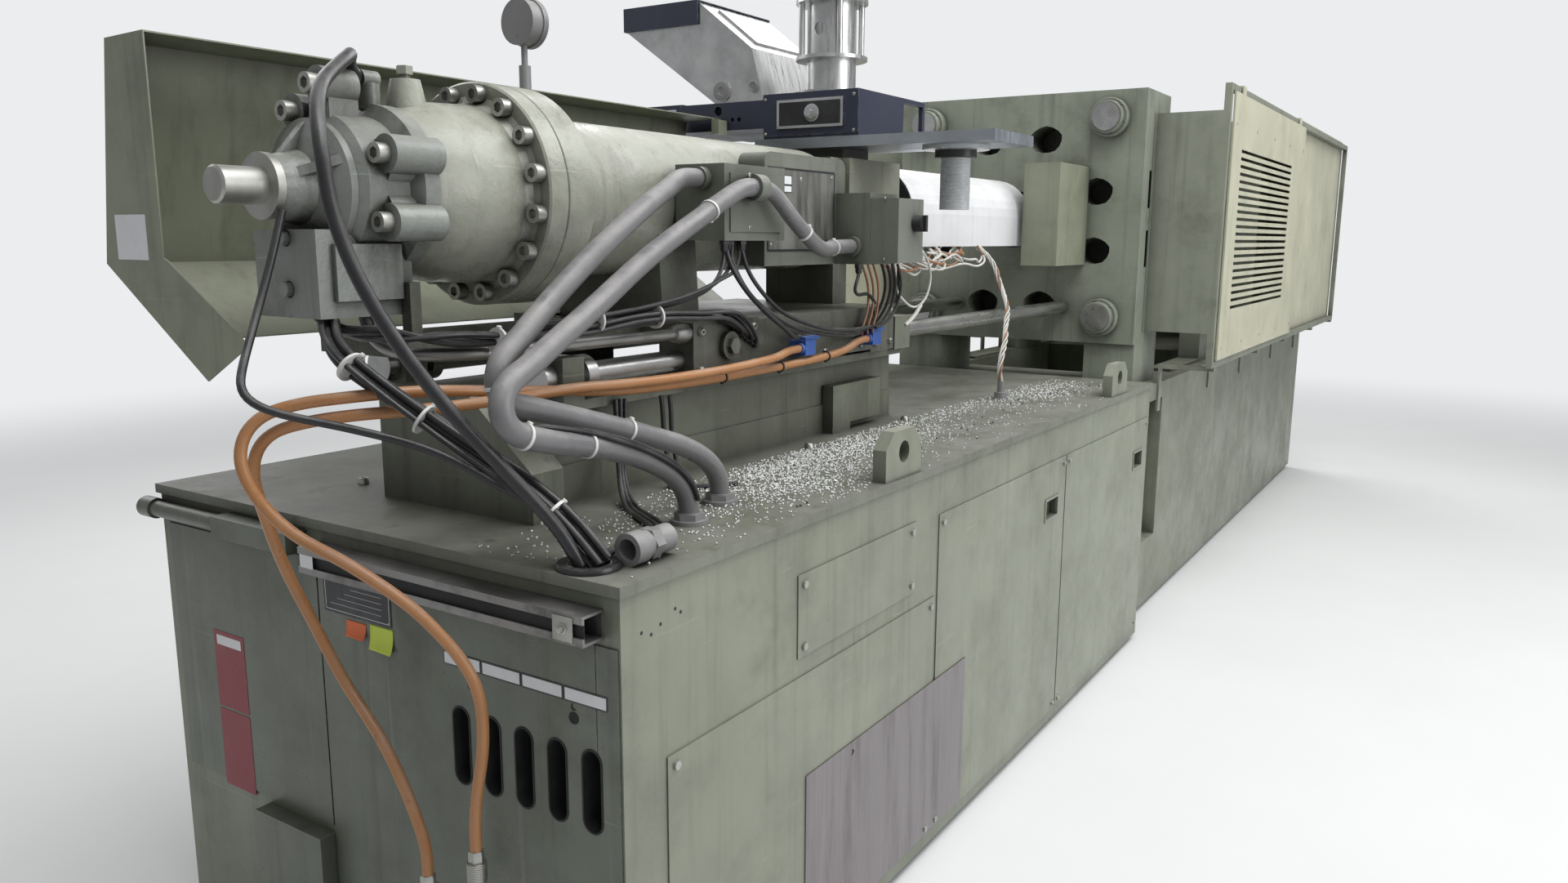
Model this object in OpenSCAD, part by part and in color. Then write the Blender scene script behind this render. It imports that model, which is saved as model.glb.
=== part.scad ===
// Horizontal injection moulding machine, about 450 tonnes of clamping force.
// Working frame of the modules: X runs along the machine from the rear face of
// the injection bed towards the clamp, Y runs across from the injection axis
// towards the operator's side, Z is height above the floor. place() moves the
// whole machine so that its origin is on the floor under its middle.

/* [Bed] */
// Length of the injection half of the bed
bed_l = 3140; // [3120:5:3200]
// Width of the injection half of the bed
bed_w = 1370; // [1360:5:1400]
// Height of the injection bed's top plate above the floor
bed_h = 1050; // [1045:1:1055]
// Thickness of the bed's top plate
top_t = 20; // [16:1:25]
// How far the top plate stands out past the bed's walls
top_lip = 8; // [4:1:12]
// Length of the clamp half of the bed
clamp_bed_l = 4160; // [4100:10:4300]
// Width of the clamp half of the bed
clamp_bed_w = 1200; // [1160:10:1240]
// Height of the clamp half of the bed
clamp_bed_h = 1000; // [980:5:1010]
// Height of the levelling pads
pad_h = 25; // [20:1:35]
// Diameter of the levelling pads
pad_d = 150; // [120:5:180]

/* [Rear face] */
// Number of vent slots
slot_n = 5; // [3:1:5]
// Width of a vent slot
slot_w = 44; // [30:1:56]
// Height of a vent slot over its round ends
slot_h = 152; // [110:1:180]
// Distance between the slots
slot_pitch = 80; // [66:1:84]
// Thickness of the panels and covers of the bed
sheet_t = 3; // [2:0.5:4]
// Width over the flanges of the rear channel
channel_h = 52; // [44:1:56]
// Depth of the rear channel
channel_d = 48; // [40:1:55]

/* [Injection cylinder] */
// Height of the injection axis above the bed's top
axis_rise = 633; // [630:1:640]
// Diameter of the bolted flanges
flange_d = 452; // [446:1:458]
// Thickness of the head's flange
head_flange_t = 53; // [45:1:60]
// Thickness of the cylinder's back flange
back_flange_t = 77; // [65:1:85]
// Diameter of the cylinder's body
cyl_d = 344; // [336:1:348]
// Diameter of the cylinder's bore
cyl_bore_d = 220; // [200:1:240]
// Diameter of the flange's bolt circle
bolt_circle_d = 403; // [400:1:406]
// Number of screws in the flange
bolt_n = 16; // [12:1:18]
// Nominal diameter of the flange screws
bolt_d = 24; // [20:1:26]

/* [Carriage] */
// Diameter of the guide rods
rod_d = 50; // [44:1:54]
// Distance of each guide rod from the middle
rod_y = 235; // [232:1:238]
// Height of the guide rods above the bed's top
rod_rise = 270; // [265:1:275]
// Running clearance round rods, shafts and bars
shaft_gap = 0.1; // [0.05:0.01:0.1]

/* [Barrel and screw] */
// Outer diameter of the barrel
barrel_d = 170; // [150:1:180]
// Diameter of the plasticising screw
screw_d = 75; // [65:1:80]
// Number of flights on the screw
flight_n = 14; // [8:1:16]
// Radius of the rounded barrel cover
cover_r = 152; // [148:1:156]
// Length of the barrel cover
cover_l = 1055; // [1000:5:1060]

/* [Feed] */
// Thickness of the hopper's slide plate
slide_t = 31; // [25:1:36]
// Length of the slide plate across the machine
slide_l = 793; // [780:1:800]
// Diameter of the feed hole
feed_d = 90; // [70:1:100]
// Travel of the hopper to the drain spout
slide_travel = 425; // [420:1:430]
// Diameter of the loader neck's flanges
neck_flange_d = 220; // [200:1:230]
// Diameter of the loader neck's tube
neck_d = 150; // [140:1:170]

/* [Clamp] */
// Width of the platens
platen_w = 1080; // [1070:5:1090]
// Height of the platens
platen_h = 1020; // [1000:5:1030]
// Thickness of the fixed platen
platen_t = 350; // [330:5:360]
// Thickness of the moving platen
moving_t = 320; // [300:5:340]
// Distance between the tie bars, both ways
tie_span = 800; // [790:1:810]
// Diameter of the tie bars
tie_d = 110; // [100:1:120]
// Diameter of the tie bar nuts
nut_d = 150; // [146:1:160]
// Length of a tie bar nut
nut_l = 72; // [60:1:75]
// Daylight between the platens as parked
daylight = 900; // [850:10:950]
// Diameter of the clamp ram
ram_d = 360; // [340:5:380]

/* [Guards] */
// Height of the gates' top edge above the injection axis
gate_rise = 499; // [467:1:517]
// Gap between the clamp bed and the gates' bottom edge
gate_gap = 110; // [108:1:120]
// Length of a gate
gate_l = 1764; // [1740:1:1790]
// Number of slots in the gate's grille
louvre_n = 22; // [16:1:24]
// Height of one slot in the grille
louvre_h = 13; // [9:1:15]

/* [Hidden] */
$fn = 48;

// Clearances of a seat, and of a screw in its hole
seat_gap = 0.2;
hole_gap = 0.5;

// Colours of the plain model
paint = [0.46, 0.50, 0.42];
pale_paint = [0.78, 0.78, 0.66];
blue_paint = [0.42, 0.48, 0.48];
steel = [0.62, 0.63, 0.65];
dark = [0.13, 0.14, 0.16];
grey = [0.45, 0.46, 0.47];
copper = [0.72, 0.42, 0.22];

// Heights that the rest is set out from
axis_z = bed_h + axis_rise;
rod_z = bed_h + rod_rise;
gate_top = axis_z + gate_rise;
gate_bottom = clamp_bed_h + gate_gap;

// Walls, sheets and ends of the two beds
wall_y = bed_w / 2 - top_lip;
cover_y = wall_y + sheet_t;
panel_x = top_lip - sheet_t;
end_x = bed_l + clamp_bed_l;
clamp_y = clamp_bed_w / 2;
pad_disc_t = 12;
pad_neck_d = 60;
pad_inset = 95;
pad_xs = [for (i = [0:3]) 220 + i * (bed_l - 470) / 3];
clamp_pad_xs = [bed_l + 310, bed_l + 1500, bed_l + 2710, end_x - 150];
floor_gap = 35;
skirt_z = pad_h + floor_gap;

// Rear face: its two panels meet at a seam
seam_y = 117.5;
panel_z1 = bed_h - 110;
hatch_z1 = bed_h - 675;
far_end_y = 650;
hatch_y0 = 118;
hatch_y1 = 345;
duct_z = bed_h - 50;

// Vent slots in the rear panel
slot_x0 = -610;
slot_z = bed_h - 374;
slot_depth = 60;

// Side covers: [first x, last x, lowest z, highest z]
small_cover = [545, 1080, bed_h - 298, bed_h - 121];
large_cover = [121, 1195, skirt_z, bed_h - 340];
panel_1 = [1212, 2163, skirt_z, bed_h - 132];
panel_2 = [2171, bed_l - 18, skirt_z, bed_h - 132];
bare = [578, 1398, skirt_z + 7, skirt_z + 422];
screw_inset = 22;
screw_head_d = 16;
screw_head_h = 6;
pull_w = 119;
pull_h = 73;
pull_frame = 8;
pull_depth = 22;
pull_inset = 62;
pull_z = bed_h - 282;

// Fittings on the bed's top: [x, y]
grommet = [60, -565];
grommet_d = 110;
grommet_bore_d = 72;
grommet_h = 8;
gland_1 = [395, -520];
gland_2 = [565, -470];
gland_d = 62;
union_x = 97;
union_l = 106;
union_y = -618;
union_d = 58;
stub = [2377, -362];

// Injection base under the carriage
base_x0 = 290;
base_x1 = 1830;
beam_y0 = 105;
beam_y1 = 205;
ledge_y = 250;
ledge_t = 20;
base_top = bed_h + 220;
seam_z = bed_h + 83;
rod_x0 = base_x0 + 10;
support_l = 60;
post_x = base_x1 - 100;
rod_block_y = 50;
stop_x = 1420;
collar_x = 385;
collar_l = 30;

// Injection unit, from the shaft cap forwards
cap_x = -213;
cap_d = 64;
cap_collar_d = 115;
cap_collar_t = 15;
cover_x = -115;
case_x = -20;
case_r = 134;
ear_r = 155;
ear_d = 68;
ear_x = 22;
head_x = 130;
head_r0 = 152;
head_r1 = 173;
head_r2 = 179;
flange_x = 343;
joint_x = flange_x + head_flange_t;
body_x = joint_x + back_flange_t;
cyl_end = 1600;
cyl_round = 40;
wall_x = 1000;
wall_t = 80;
lantern_r = 130;
rod_bore_d = 100;
screw_tang_d = 60;
tang_l = 115;
piston_x = 440;
piston_l = 120;
rod_end = 1200;
stroke = 300;
screw_head_r = bolt_d * 0.75;
cap_head_h = bolt_d;
cap_screw_l = 100;
ear_angles = [157.5, 202.5, 22.5, 337.5];
boss_places = [[-21, 180], [52, 136]];
boss_x = -20;
boss_end = 48;
boss_screw_l = 62;
port = [-90, 110, 90, axis_z - 228, axis_z - 73];
port_screw_zs = [port[4] - 15, port[4] - 105];

// Carriage
block_1 = [720, 980];
block_2 = [1560, 1700];
block_z0 = base_top + 6;
block_z1 = rod_z + 90;
plate_z = rod_z + 55;
plate_t = 30;

// Barrel and feed
throat_x = 1800;
throat_x0 = cyl_end;
throat_x1 = throat_x + 240;
throat_r = 150;
barrel_x0 = throat_x - 100;
barrel_x1 = throat_x + 1530;
nozzle_x = barrel_x1 + 310;
nozzle_d = 60;
barrel_wall = 30;
flight_h = 8;
flight_w = 9;
tip_l = 40;
tip_gap = 4;
band_d = barrel_d + 16;
band_w = 120;
band_n = 6;
band_x0 = throat_x + 370;
band_pitch = 170;
cover_x0 = throat_x + 280;
cover_side_z = axis_z - 110;
slide_x0 = throat_x - 140;
slide_x1 = throat_x + 150;
slide_z = axis_z + 183;
slide_top = slide_z + slide_t;
slide_y1 = 190;
slide_y0 = slide_y1 - slide_l;
base_plate_t = 9;
box_y0 = -175;
box_y1 = 158;
box_top = slide_top + 133;
drawer_y0 = -127;
drawer_y1 = 106;
drawer_z0 = slide_top + 28;
drawer_z1 = slide_top + 113;
box_wall = 12;
tray_y0 = 480;
tray_y1 = 795;
tray_z = slide_top + 118;
neck_z1 = box_top + 103;
neck_z2 = box_top + 268;
neck_flange_t = 10;
neck_x = throat_x;

// Hopper's end profile, as [y, z]
hopper_x0 = slide_x0 + 5;
hopper_x1 = slide_x0 + 400;
hopper_t = 3;
hopper_top = tray_z + 315;
hopper_pts = [[162, tray_z], [345, tray_z], [705, tray_z + 247], [705, hopper_top],
  [412, hopper_top], [205, tray_z + 157]];
lid_skirt = 70;
lid_t = 3;
lid_rim = 6;

// Hinge of the hopper's lid, on its far side: one knuckle of the lid between two of the hopper
hinge_d = 12;
hinge_pin_d = 6;
hinge_y = hopper_pts[3][0] + lid_rim + hinge_d / 2 + 0.4;
hinge_z = hopper_top - lid_skirt;
hinge_x0 = hopper_x0 + 137;
hinge_x1 = hopper_x0 + 257;
knuckle_l = 30;
knuckle_gap = 0.5;

// Clamp unit
platen_x = bed_l + 210;
mould_x = platen_x + platen_t;
moving_x = mould_x + daylight;
moving_end = moving_x + moving_t;
block_x = bed_l + 2660;
block_l = 250;
cyl_block_end = block_x + 820;
ram_end = cyl_block_end - 60;
ram_floor = cyl_block_end - 40;
clamp_cyl_d = 760;
ram_flange_d = 520;
ram_flange_t = 50;
platen_z0 = axis_z - platen_h / 2;
platen_z1 = axis_z + platen_h / 2;
strip_t = 12;
foot_y = 430;
platen_foot_w = 110;
chute_x0 = mould_x + 60;
chute_x1 = mould_x + 1360;
chute_y = 420;
ring_d = 150;
nozzle_hole_d = 240;
mould_hole = 175;

// Gates, rails and covers
end_panel_x = platen_x + 150;
gate_x0 = end_panel_x + 36;
rail_y0 = 800;
rail_y1 = 825;
rail_h = 26;
rail_x1 = end_x - 220;
skin_y = 790;
hood_x0 = gate_x0 + gate_l + 10;
hood_x1 = rail_x1 + 20;
hood_top = gate_top + 54;
grille = [gate_x0 + 179, gate_x0 + gate_l - 355, axis_z - 378, axis_z + 294];

// Boxes on the near side of the cylinder: [x0, x1, y0, y1, z0, z1]
box_a = [800, 1050, -315, -175, axis_z - 90, axis_z + 82];
box_b = [1052, 1450, -255, -175, axis_z - 153, axis_z + 127];
box_c = [1400, 1560, -362, -255, axis_z - 153, axis_z + 37];
switch_box = [1402, 1550, -447, -362, axis_z - 148, axis_z + 22];
knob = [1500, axis_z - 43];
window_edge = 36;
window_seam = 4;
gland_z = axis_z + 49;
low_gland_z = axis_z + 30;
link_gland_z = axis_z - 105;
knob_d = 44;
knob_l = 28;

// Far guard's folded profile, as [y, z]
guard_x0 = -135;
guard_x1 = 1652;
guard_pts = [[315, axis_z + 284], [450, axis_z + 281], [523, axis_z - 141], [300, axis_z - 287]];
gauge_x = 834;
gauge_y = 332;
gauge_z = axis_z + 446;
gauge_d = 112;

// Cord routes, chosen by hand: [x, y, height above the bed's top]
conduit_d = 42;
conduit_a = [
  [777.7, -255, 682], [735, -255, 682], [620, -298, 652], [448, -355, 595],
  [226, -385, 476], [70, -412, 380], [-5, -428, 328], [-6, -432, 285],
  [60, -434, 262], [205, -435, 219], [378, -442, 165], [490, -456, 122],
  [548, -468, 78], [565, -470, 46], [565, -470, 22.3]];
conduit_b = [
  [865.7, -346, 663], [838, -346, 663], [770, -350, 640], [640, -365, 590], [460, -385, 518],
  [230, -430, 420], [40, -464, 338], [-52, -484, 292], [-50, -490, 248],
  [20, -492, 218], [192, -490, 176], [300, -500, 136], [372, -514, 88],
  [395, -520, 48], [395, -520, 22.3]];
link_route = [
  [902.3, -346, 663], [926, -346, 663], [1005, -372, 590], [1075, -380, 542],
  [1160, -360, 522], [1270, -328, 526], [1350, -312, 528], [1385.7, -312, 528]];
hose_d = 24;
hose_route = [
  [84.5, 0, 836], [72, 0, 836], [58, -8, 853], [36, -46, 867], [7, -85, 861], [-60, -135, 828],
  [-110, -170, 800], [-165, -225, 750], [-190, -265, 677], [-192, -285, 585],
  [-176, -315, 485], [-150, -355, 396], [-92, -425, 264], [-22, -492, 146],
  [30, -543, 50], [44, -560, 6]];
sensor_d = 14;
sensor_route = [
  [-122, -49, 591], [-138, -54, 550], [-170, -60, 470], [-215, -85, 395],
  [-268, -130, 330], [-292, -165, 298], [-262, -185, 276], [-175, -262, 242],
  [-70, -352, 194], [0, -436, 128], [78, -534, 52], [80, -554, 6]];
bundle_d = 18;
bundle_route = [
  [-60, -62, 404.5], [-60, -62, 390], [-84, -100, 370], [-104, -160, 342], [-84, -235, 292],
  [-46, -330, 228], [14, -430, 148], [58, -545, 48], [66, -588, 6]];
air_d = 21;
air_route_1 = [
  [1475, -318, 272], [1440, -318, 272], [1340, -326, 252], [1208, -320, 240],
  [1060, -314, 234], [909, -313, 232], [656, -312, 232], [391, -312, 244],
  [300, -308, 254], [130, -278, 270], [-10, -240, 282], [-122, -185, 279],
  [-190, -118, 266], [-236, -82, 232], [-252, -92, 170], [-226, -150, 70],
  [-180, -262, 8], [-128, -378, -80], [-88, -440, -188], [-78, -440, -300],
  [-80, -420, -400], [-80, -412, -460], [-80, -412, -502]];
air_route_2 = [
  [1116, -318, 272], [1082, -318, 272], [990, -334, 262], [909, -338, 258],
  [800, -338, 254], [656, -336, 252], [391, -336, 258], [300, -330, 262],
  [130, -300, 256], [-20, -256, 252], [-118, -190, 248], [-176, -118, 232],
  [-206, -66, 202], [-210, -48, 150], [-192, -40, 70], [-150, -22, -40],
  [-104, -20, -150], [-84, -70, -258], [-80, -180, -370], [-80, -252, -480],
  [-80, -280, -545], [-80, -280, -592]];

// Small helpers: a box between two corners, and bars along X, Y and Z
module box(a, b) { translate(a) cube(b - a); }
module bar_x(x0, x1, y, z, d) { translate([x0, y, z]) rotate([0, 90, 0]) cylinder(h = x1 - x0, d = d); }
module bar_y(x, y0, y1, z, d) { translate([x, y0, z]) rotate([-90, 0, 0]) cylinder(h = y1 - y0, d = d); }
module bar_z(x, y, z0, z1, d) { translate([x, y, z0]) cylinder(h = z1 - z0, d = d); }
// Something given for the operator's side, repeated on the near side
module both_sides() {
  children();
  mirror([0, 1, 0]) children();
}
// A profile of [distance along X, radius] turned round the injection axis
module turned(pts, z = axis_z) {
  translate([0, 0, z]) rotate([0, 90, 0]) rotate_extrude($fn = 72) polygon([for (p = pts) [p[1], p[0]]]);
}
// A profile of [y, z] drawn out along X
module along_x(x0, x1, pts) {
  translate([x0, 0, 0]) rotate([90, 0, 90]) linear_extrude(x1 - x0) polygon(pts);
}
// A profile of [x, z] drawn out along Y
module along_y(y0, y1, pts) {
  translate([0, y1, 0]) rotate([90, 0, 0]) linear_extrude(y1 - y0) polygon(pts);
}
// A folded sheet: the band of thickness t on the right of a line of points
function seg_dir(a, b) = (b - a) / norm(b - a);
function fold(p, i, t) = let (
    d0 = seg_dir(p[max(i - 1, 0)], p[max(i - 1, 0) + 1]),
    j = min(i, len(p) - 2),
    d1 = seg_dir(p[j], p[j + 1]),
    n0 = [d0[1], -d0[0]], n1 = [d1[1], -d1[0]],
    m = n0 + n1)
  p[i] + m * (2 * t / (m * m));
function sheet_band(p, t) = concat(p, [for (i = [len(p) - 1:-1:0]) fold(p, i, t)]);

// A cord: rings of 8 points along a smooth curve through the route
function smooth(p, i, t) = let (
    a = p[max(i - 1, 0)], b = p[i], c = p[i + 1], d = p[min(i + 2, len(p) - 1)])
  0.5 * ((2 * b) + (c - a) * t + (2 * a - 5 * b + 4 * c - d) * t * t
    + (3 * b - a - 3 * c + d) * t * t * t);
function curve(p, step) = concat(
  [for (i = [0:len(p) - 2]) let (n = max(1, round(norm(p[i + 1] - p[i]) / step)))
    for (k = [0:n - 1]) smooth(p, i, k / n)],
  [p[len(p) - 1]]);
function heading(c, i) = let (j = max(i - 1, 0), k = min(i + 1, len(c) - 1))
  (c[k] - c[j]) / norm(c[k] - c[j]);
function flat_to(v, t) = let (w = v - t * (v * t)) w / norm(w);
module cord(route, d, sides = 8) {
  c = curve([for (p = route) p + [0, 0, bed_h]], 2.4 * d);
  start = heading(c, 0);
  frames = [for (i = 0, u = flat_to(abs(start[2]) > 0.9 ? [1, 0, 0] : [0, 0, 1], start);
      i < len(c); i = i + 1, u = i < len(c) ? flat_to(u, heading(c, i)) : u) u];
  rings = [for (i = [0:len(c) - 1]) let (t = heading(c, i), u = frames[i], v = cross(t, u))
      for (k = [0:sides - 1]) c[i] + d / 2 * (u * cos(360 * k / sides) + v * sin(360 * k / sides))];
  walls = [for (i = [0:len(c) - 2], k = [0:sides - 1])
      [i * sides + k, i * sides + (k + 1) % sides, (i + 1) * sides + (k + 1) % sides, (i + 1) * sides + k]];
  ends = [[for (k = [sides - 1:-1:0]) k], [for (k = [0:sides - 1]) (len(c) - 1) * sides + k]];
  polyhedron(rings, concat([for (w = walls) [w[3], w[2], w[1], w[0]]],
    [for (e = ends) [for (k = [len(e) - 1:-1:0]) e[k]]]), convexity = 4);
}

// Put the working frame's origin on the floor under the machine's middle
x_mid = end_x / 2 - 150;
y_mid = 0;
module place() { translate([-x_mid, -y_mid, 0]) children(); }

// The bed and its sheets

module levelling_pad(x, y) {
  bar_z(x, y, 0, pad_disc_t, pad_d);
  bar_z(x, y, 0, pad_h, pad_neck_d);
}
module levelling_pads() {
  color(dark) {
    for (x = pad_xs, s = [-1, 1]) levelling_pad(x, s * (wall_y - pad_inset));
    for (x = clamp_pad_xs, s = [-1, 1]) levelling_pad(x, s * (clamp_y - pad_inset));
  }
}

module vent_slots(x0, x1) {
  for (i = [0:slot_n - 1]) {
    y = slot_x0 + i * slot_pitch;
    reach = (slot_h - slot_w) / 2;
    for (s = [-1, 1]) bar_x(x0, x1, y, slot_z + s * reach, slot_w);
    box([x0, y - slot_w / 2, slot_z - reach], [x1, y + slot_w / 2, slot_z + reach]);
  }
}
function pull_x(panel) = panel[1] - pull_inset - pull_w / 2;
module pull_pocket(panel, y0, y1) {
  x = pull_x(panel);
  box([x - pull_w / 2 + pull_frame, y0, pull_z - pull_h / 2 + pull_frame],
    [x + pull_w / 2 - pull_frame, y1, pull_z + pull_h / 2 - pull_frame]);
}
module bed_frame() {
  color(paint) difference() {
    union() {
      box([top_lip, -wall_y, pad_h], [bed_l, wall_y, bed_h - top_t]);
      box([bed_l - 1, -clamp_y, pad_h], [end_x, clamp_y, clamp_bed_h]);
      both_sides() box([mould_x + 300, foot_y, clamp_bed_h - 1],
        [block_x - 10, foot_y + platen_foot_w, clamp_bed_h + strip_t]);
    }
    vent_slots(0, top_lip + slot_depth);
    box([chute_x0, -chute_y, 0], [chute_x1, chute_y, clamp_bed_h + strip_t + 1]);
    both_sides() for (p = [panel_1, panel_2]) pull_pocket(p, wall_y - pull_depth, wall_y + 1);
    both_sides() box([bed_l + 70, clamp_y - 70, 320], [bed_l + 500, clamp_y + 1, clamp_bed_h - 70]);
  }
}

module bed_top() {
  color(paint) difference() {
    box([0, -bed_w / 2, bed_h - top_t], [bed_l, bed_w / 2, bed_h]);
    bar_z(grommet[0], grommet[1], bed_h - top_t - 1, bed_h + 1, grommet_bore_d);
  }
}

module rear_panel() {
  color(paint) difference() {
    box([panel_x, -wall_y + 5, skirt_z], [top_lip, seam_y - 2.5, panel_z1]);
    vent_slots(panel_x - 1, top_lip + 1);
    for (y = [-572, -323]) bar_x(panel_x - 1, top_lip + 1, y, panel_z1 - 120, 14);
    box([panel_x - 1, -626, panel_z1 - 193], [panel_x + 1, -623, panel_z1 + 1]);
  }
}

module cabinet_panel() {
  color(paint) difference() {
    union() {
      box([panel_x, seam_y + 2.5, hatch_z1 + 15], [top_lip, far_end_y, panel_z1 + 25]);
      box([panel_x - 35, hatch_y0, skirt_z], [top_lip, hatch_y1, hatch_z1]);
    }
    box([panel_x - 32, hatch_y0 + sheet_t, skirt_z - 2], [top_lip - 3, hatch_y1 - sheet_t, hatch_z1 - sheet_t]);
  }
  color(grey) {
    box([panel_x - 45, 145, duct_z - 22], [top_lip, 405, bed_h - top_t - 8]);
    bar_x(panel_x - 49, panel_x - 45, 192, duct_z, 34);
    bar_y(panel_x - 20, 405, 690, duct_z, 36);
    bar_y(panel_x - 20, 655, 700, duct_z, 46);
  }
}

module rear_channel() {
  wall = 5;
  lip = 9;
  z0 = bed_h - 45 - channel_h;
  x0 = panel_x - channel_d;
  color(steel) difference() {
    box([x0, -642, z0], [top_lip, 102, z0 + channel_h]);
    box([x0 + wall, -643, z0 + wall], [top_lip - wall, 103, z0 + channel_h - wall]);
    box([x0 - 1, -643, z0 + wall + lip], [x0 + wall + 1, 103, z0 + channel_h - wall - lip]);
  }
}

module side_sheet(p) { box([p[0], wall_y, p[2]], [p[1], cover_y, p[3]]); }
module side_covers() {
  color(paint) {
    both_sides() side_sheet(large_cover);
    mirror([0, 1, 0]) side_sheet(small_cover);
  }
}
module bare_sheet() {
  color(steel) mirror([0, 1, 0]) difference() {
    box([bare[0], cover_y, bare[2]], [bare[1], cover_y + sheet_t, bare[3]]);
    bar_y(bare[0] + 198, cover_y - 1, cover_y + sheet_t + 1, bare[3] - 25, 14);
    for (p = [large_cover, panel_1], x = [p[0] + screw_inset, p[1] - screw_inset])
      bar_y(x, cover_y - 1, cover_y + sheet_t + 1, p[2] + screw_inset, screw_head_d + 1);
  }
}
module side_panel(p) {
  x = pull_x(p);
  difference() {
    union() {
      side_sheet(p);
      box([x - pull_w / 2, cover_y - 1, pull_z - pull_h / 2],
        [x + pull_w / 2, cover_y + 3, pull_z + pull_h / 2]);
    }
    pull_pocket(p, wall_y - 1, cover_y + 4);
  }
}
module side_panels() {
  color(paint) both_sides() for (p = [panel_1, panel_2]) side_panel(p);
}
module sheet_screws(p) {
  for (x = [p[0] + screw_inset, p[1] - screw_inset], z = [p[2] + screw_inset, p[3] - screw_inset])
    bar_y(x, cover_y, cover_y + screw_head_h, z, screw_head_d, $fn = 24);
}
module cover_screws() {
  color(steel) {
    both_sides() for (p = [large_cover, panel_1, panel_2]) sheet_screws(p);
    mirror([0, 1, 0]) sheet_screws(small_cover);
  }
}

// What stands on the bed's top

lug_l = 180;
lug_h = 114;
lug_t = 34;
lug_hole_d = 52;
lug_xs = [1010, 2720];
module lifting_lug(x) {
  y1 = bed_w / 2 - 8;
  difference() {
    along_y(y1 - lug_t, y1, [
      [x - lug_l / 2, bed_h], [x + lug_l / 2, bed_h], [x + lug_l / 2, bed_h + lug_h * 0.66],
      [x + lug_l / 2 - 38, bed_h + lug_h], [x - lug_l / 2 + 38, bed_h + lug_h],
      [x - lug_l / 2, bed_h + lug_h * 0.66]]);
    bar_y(x, y1 - lug_t - 1, y1 + 1, bed_h + lug_h * 0.54, lug_hole_d);
  }
}
module lifting_lugs() {
  color(paint) both_sides() for (x = lug_xs) lifting_lug(x);
}

module ring_z(x, y, z0, z1, d, bore) {
  difference() {
    bar_z(x, y, z0, z1, d);
    bar_z(x, y, z0 - 1, z1 + 1, bore);
  }
}
module bed_fittings() {
  color(dark) ring_z(grommet[0], grommet[1], bed_h, bed_h + grommet_h, grommet_d, grommet_bore_d);
  color(grey) {
    for (g = [gland_1, gland_2]) {
      bar_z(g[0], g[1], bed_h, bed_h + 8, gland_d + 14);
      translate([g[0], g[1], bed_h + 8]) cylinder(h = 12, d = gland_d, $fn = 6);
      bar_z(g[0], g[1], bed_h + 20, bed_h + 22, gland_d - 10);
    }
    difference() {
      union() {
        bar_x(union_x, union_x + union_l, union_y, bed_h + union_d / 2, union_d - 8);
        bar_x(union_x, union_x + 34, union_y, bed_h + union_d / 2, union_d);
        translate([union_x + 48, union_y, bed_h + union_d / 2]) rotate([0, 90, 0]) rotate([0, 0, 30])
          cylinder(h = 22, d = union_d, $fn = 6);
      }
      bar_x(union_x - 1, union_x + 60, union_y, bed_h + union_d / 2, union_d - 20);
    }
    bar_z(stub[0], stub[1], bed_h, bed_h + 24, 46);
    bar_z(stub[0], stub[1], bed_h, bed_h + 62, 26);
  }
}

module injection_base() {
  color(paint) difference() {
    union() {
      both_sides() {
        box([base_x0, beam_y0, bed_h], [base_x1, beam_y1 + 4, seam_z - 2]);
        box([base_x0, beam_y0, bed_h], [base_x1, beam_y1, base_top]);
        box([base_x0, beam_y0 - 10, base_top - ledge_t], [base_x1, ledge_y, base_top]);
        box([rod_x0, rod_y - rod_block_y, base_top - 1], [rod_x0 + support_l, rod_y + rod_block_y, rod_z + 45]);
        box([post_x, rod_y - rod_block_y + 10, base_top - 1], [base_x1, rod_y + rod_block_y - 10, rod_z + 48]);
      }
      for (x = [base_x0, (base_x0 + base_x1) / 2 - 50, base_x1 - 40])
        box([x, -beam_y0 - 1, bed_h], [x + 40, beam_y0 + 1, base_top - 30]);
    }
    both_sides() bar_x(rod_x0 - 1, base_x1 + 1, rod_y, rod_z, rod_d + 2 * seat_gap);
  }
  // Stop block on its post, on the near side
  color(paint) mirror([0, 1, 0]) {
    box([stop_x, beam_y1 + 4, seam_z - 60], [stop_x + 280, ledge_y - 6, seam_z + 54]);
    box([stop_x, beam_y1 + 4, bed_h], [stop_x + 100, ledge_y - 6, seam_z - 59]);
  }
  // Folded cover at the rear of the base
  color(blue_paint) difference() {
    along_x(base_x0 - 85, base_x0, [[-288, bed_h], [155, bed_h], [155, bed_h + 240], [-120, bed_h + 240],
      [-288, bed_h + 100]]);
    along_x(base_x0 - 82, base_x0 + 1, [[-285, bed_h - 1], [152, bed_h - 1], [152, bed_h + 237],
      [-119, bed_h + 237], [-285, bed_h + 99]]);
  }
}

module guide_rods() {
  color(steel) both_sides() {
    bar_x(rod_x0, platen_x, rod_y, rod_z, rod_d);
    bar_x(rod_x0 - 30, rod_x0, rod_y, rod_z, rod_d + 26);
    difference() {
      bar_x(collar_x, collar_x + collar_l, rod_y, rod_z, rod_d + 34);
      bar_x(collar_x - 1, collar_x + collar_l + 1, rod_y, rod_z, rod_d);
    }
  }
}

// The clamp unit

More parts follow.
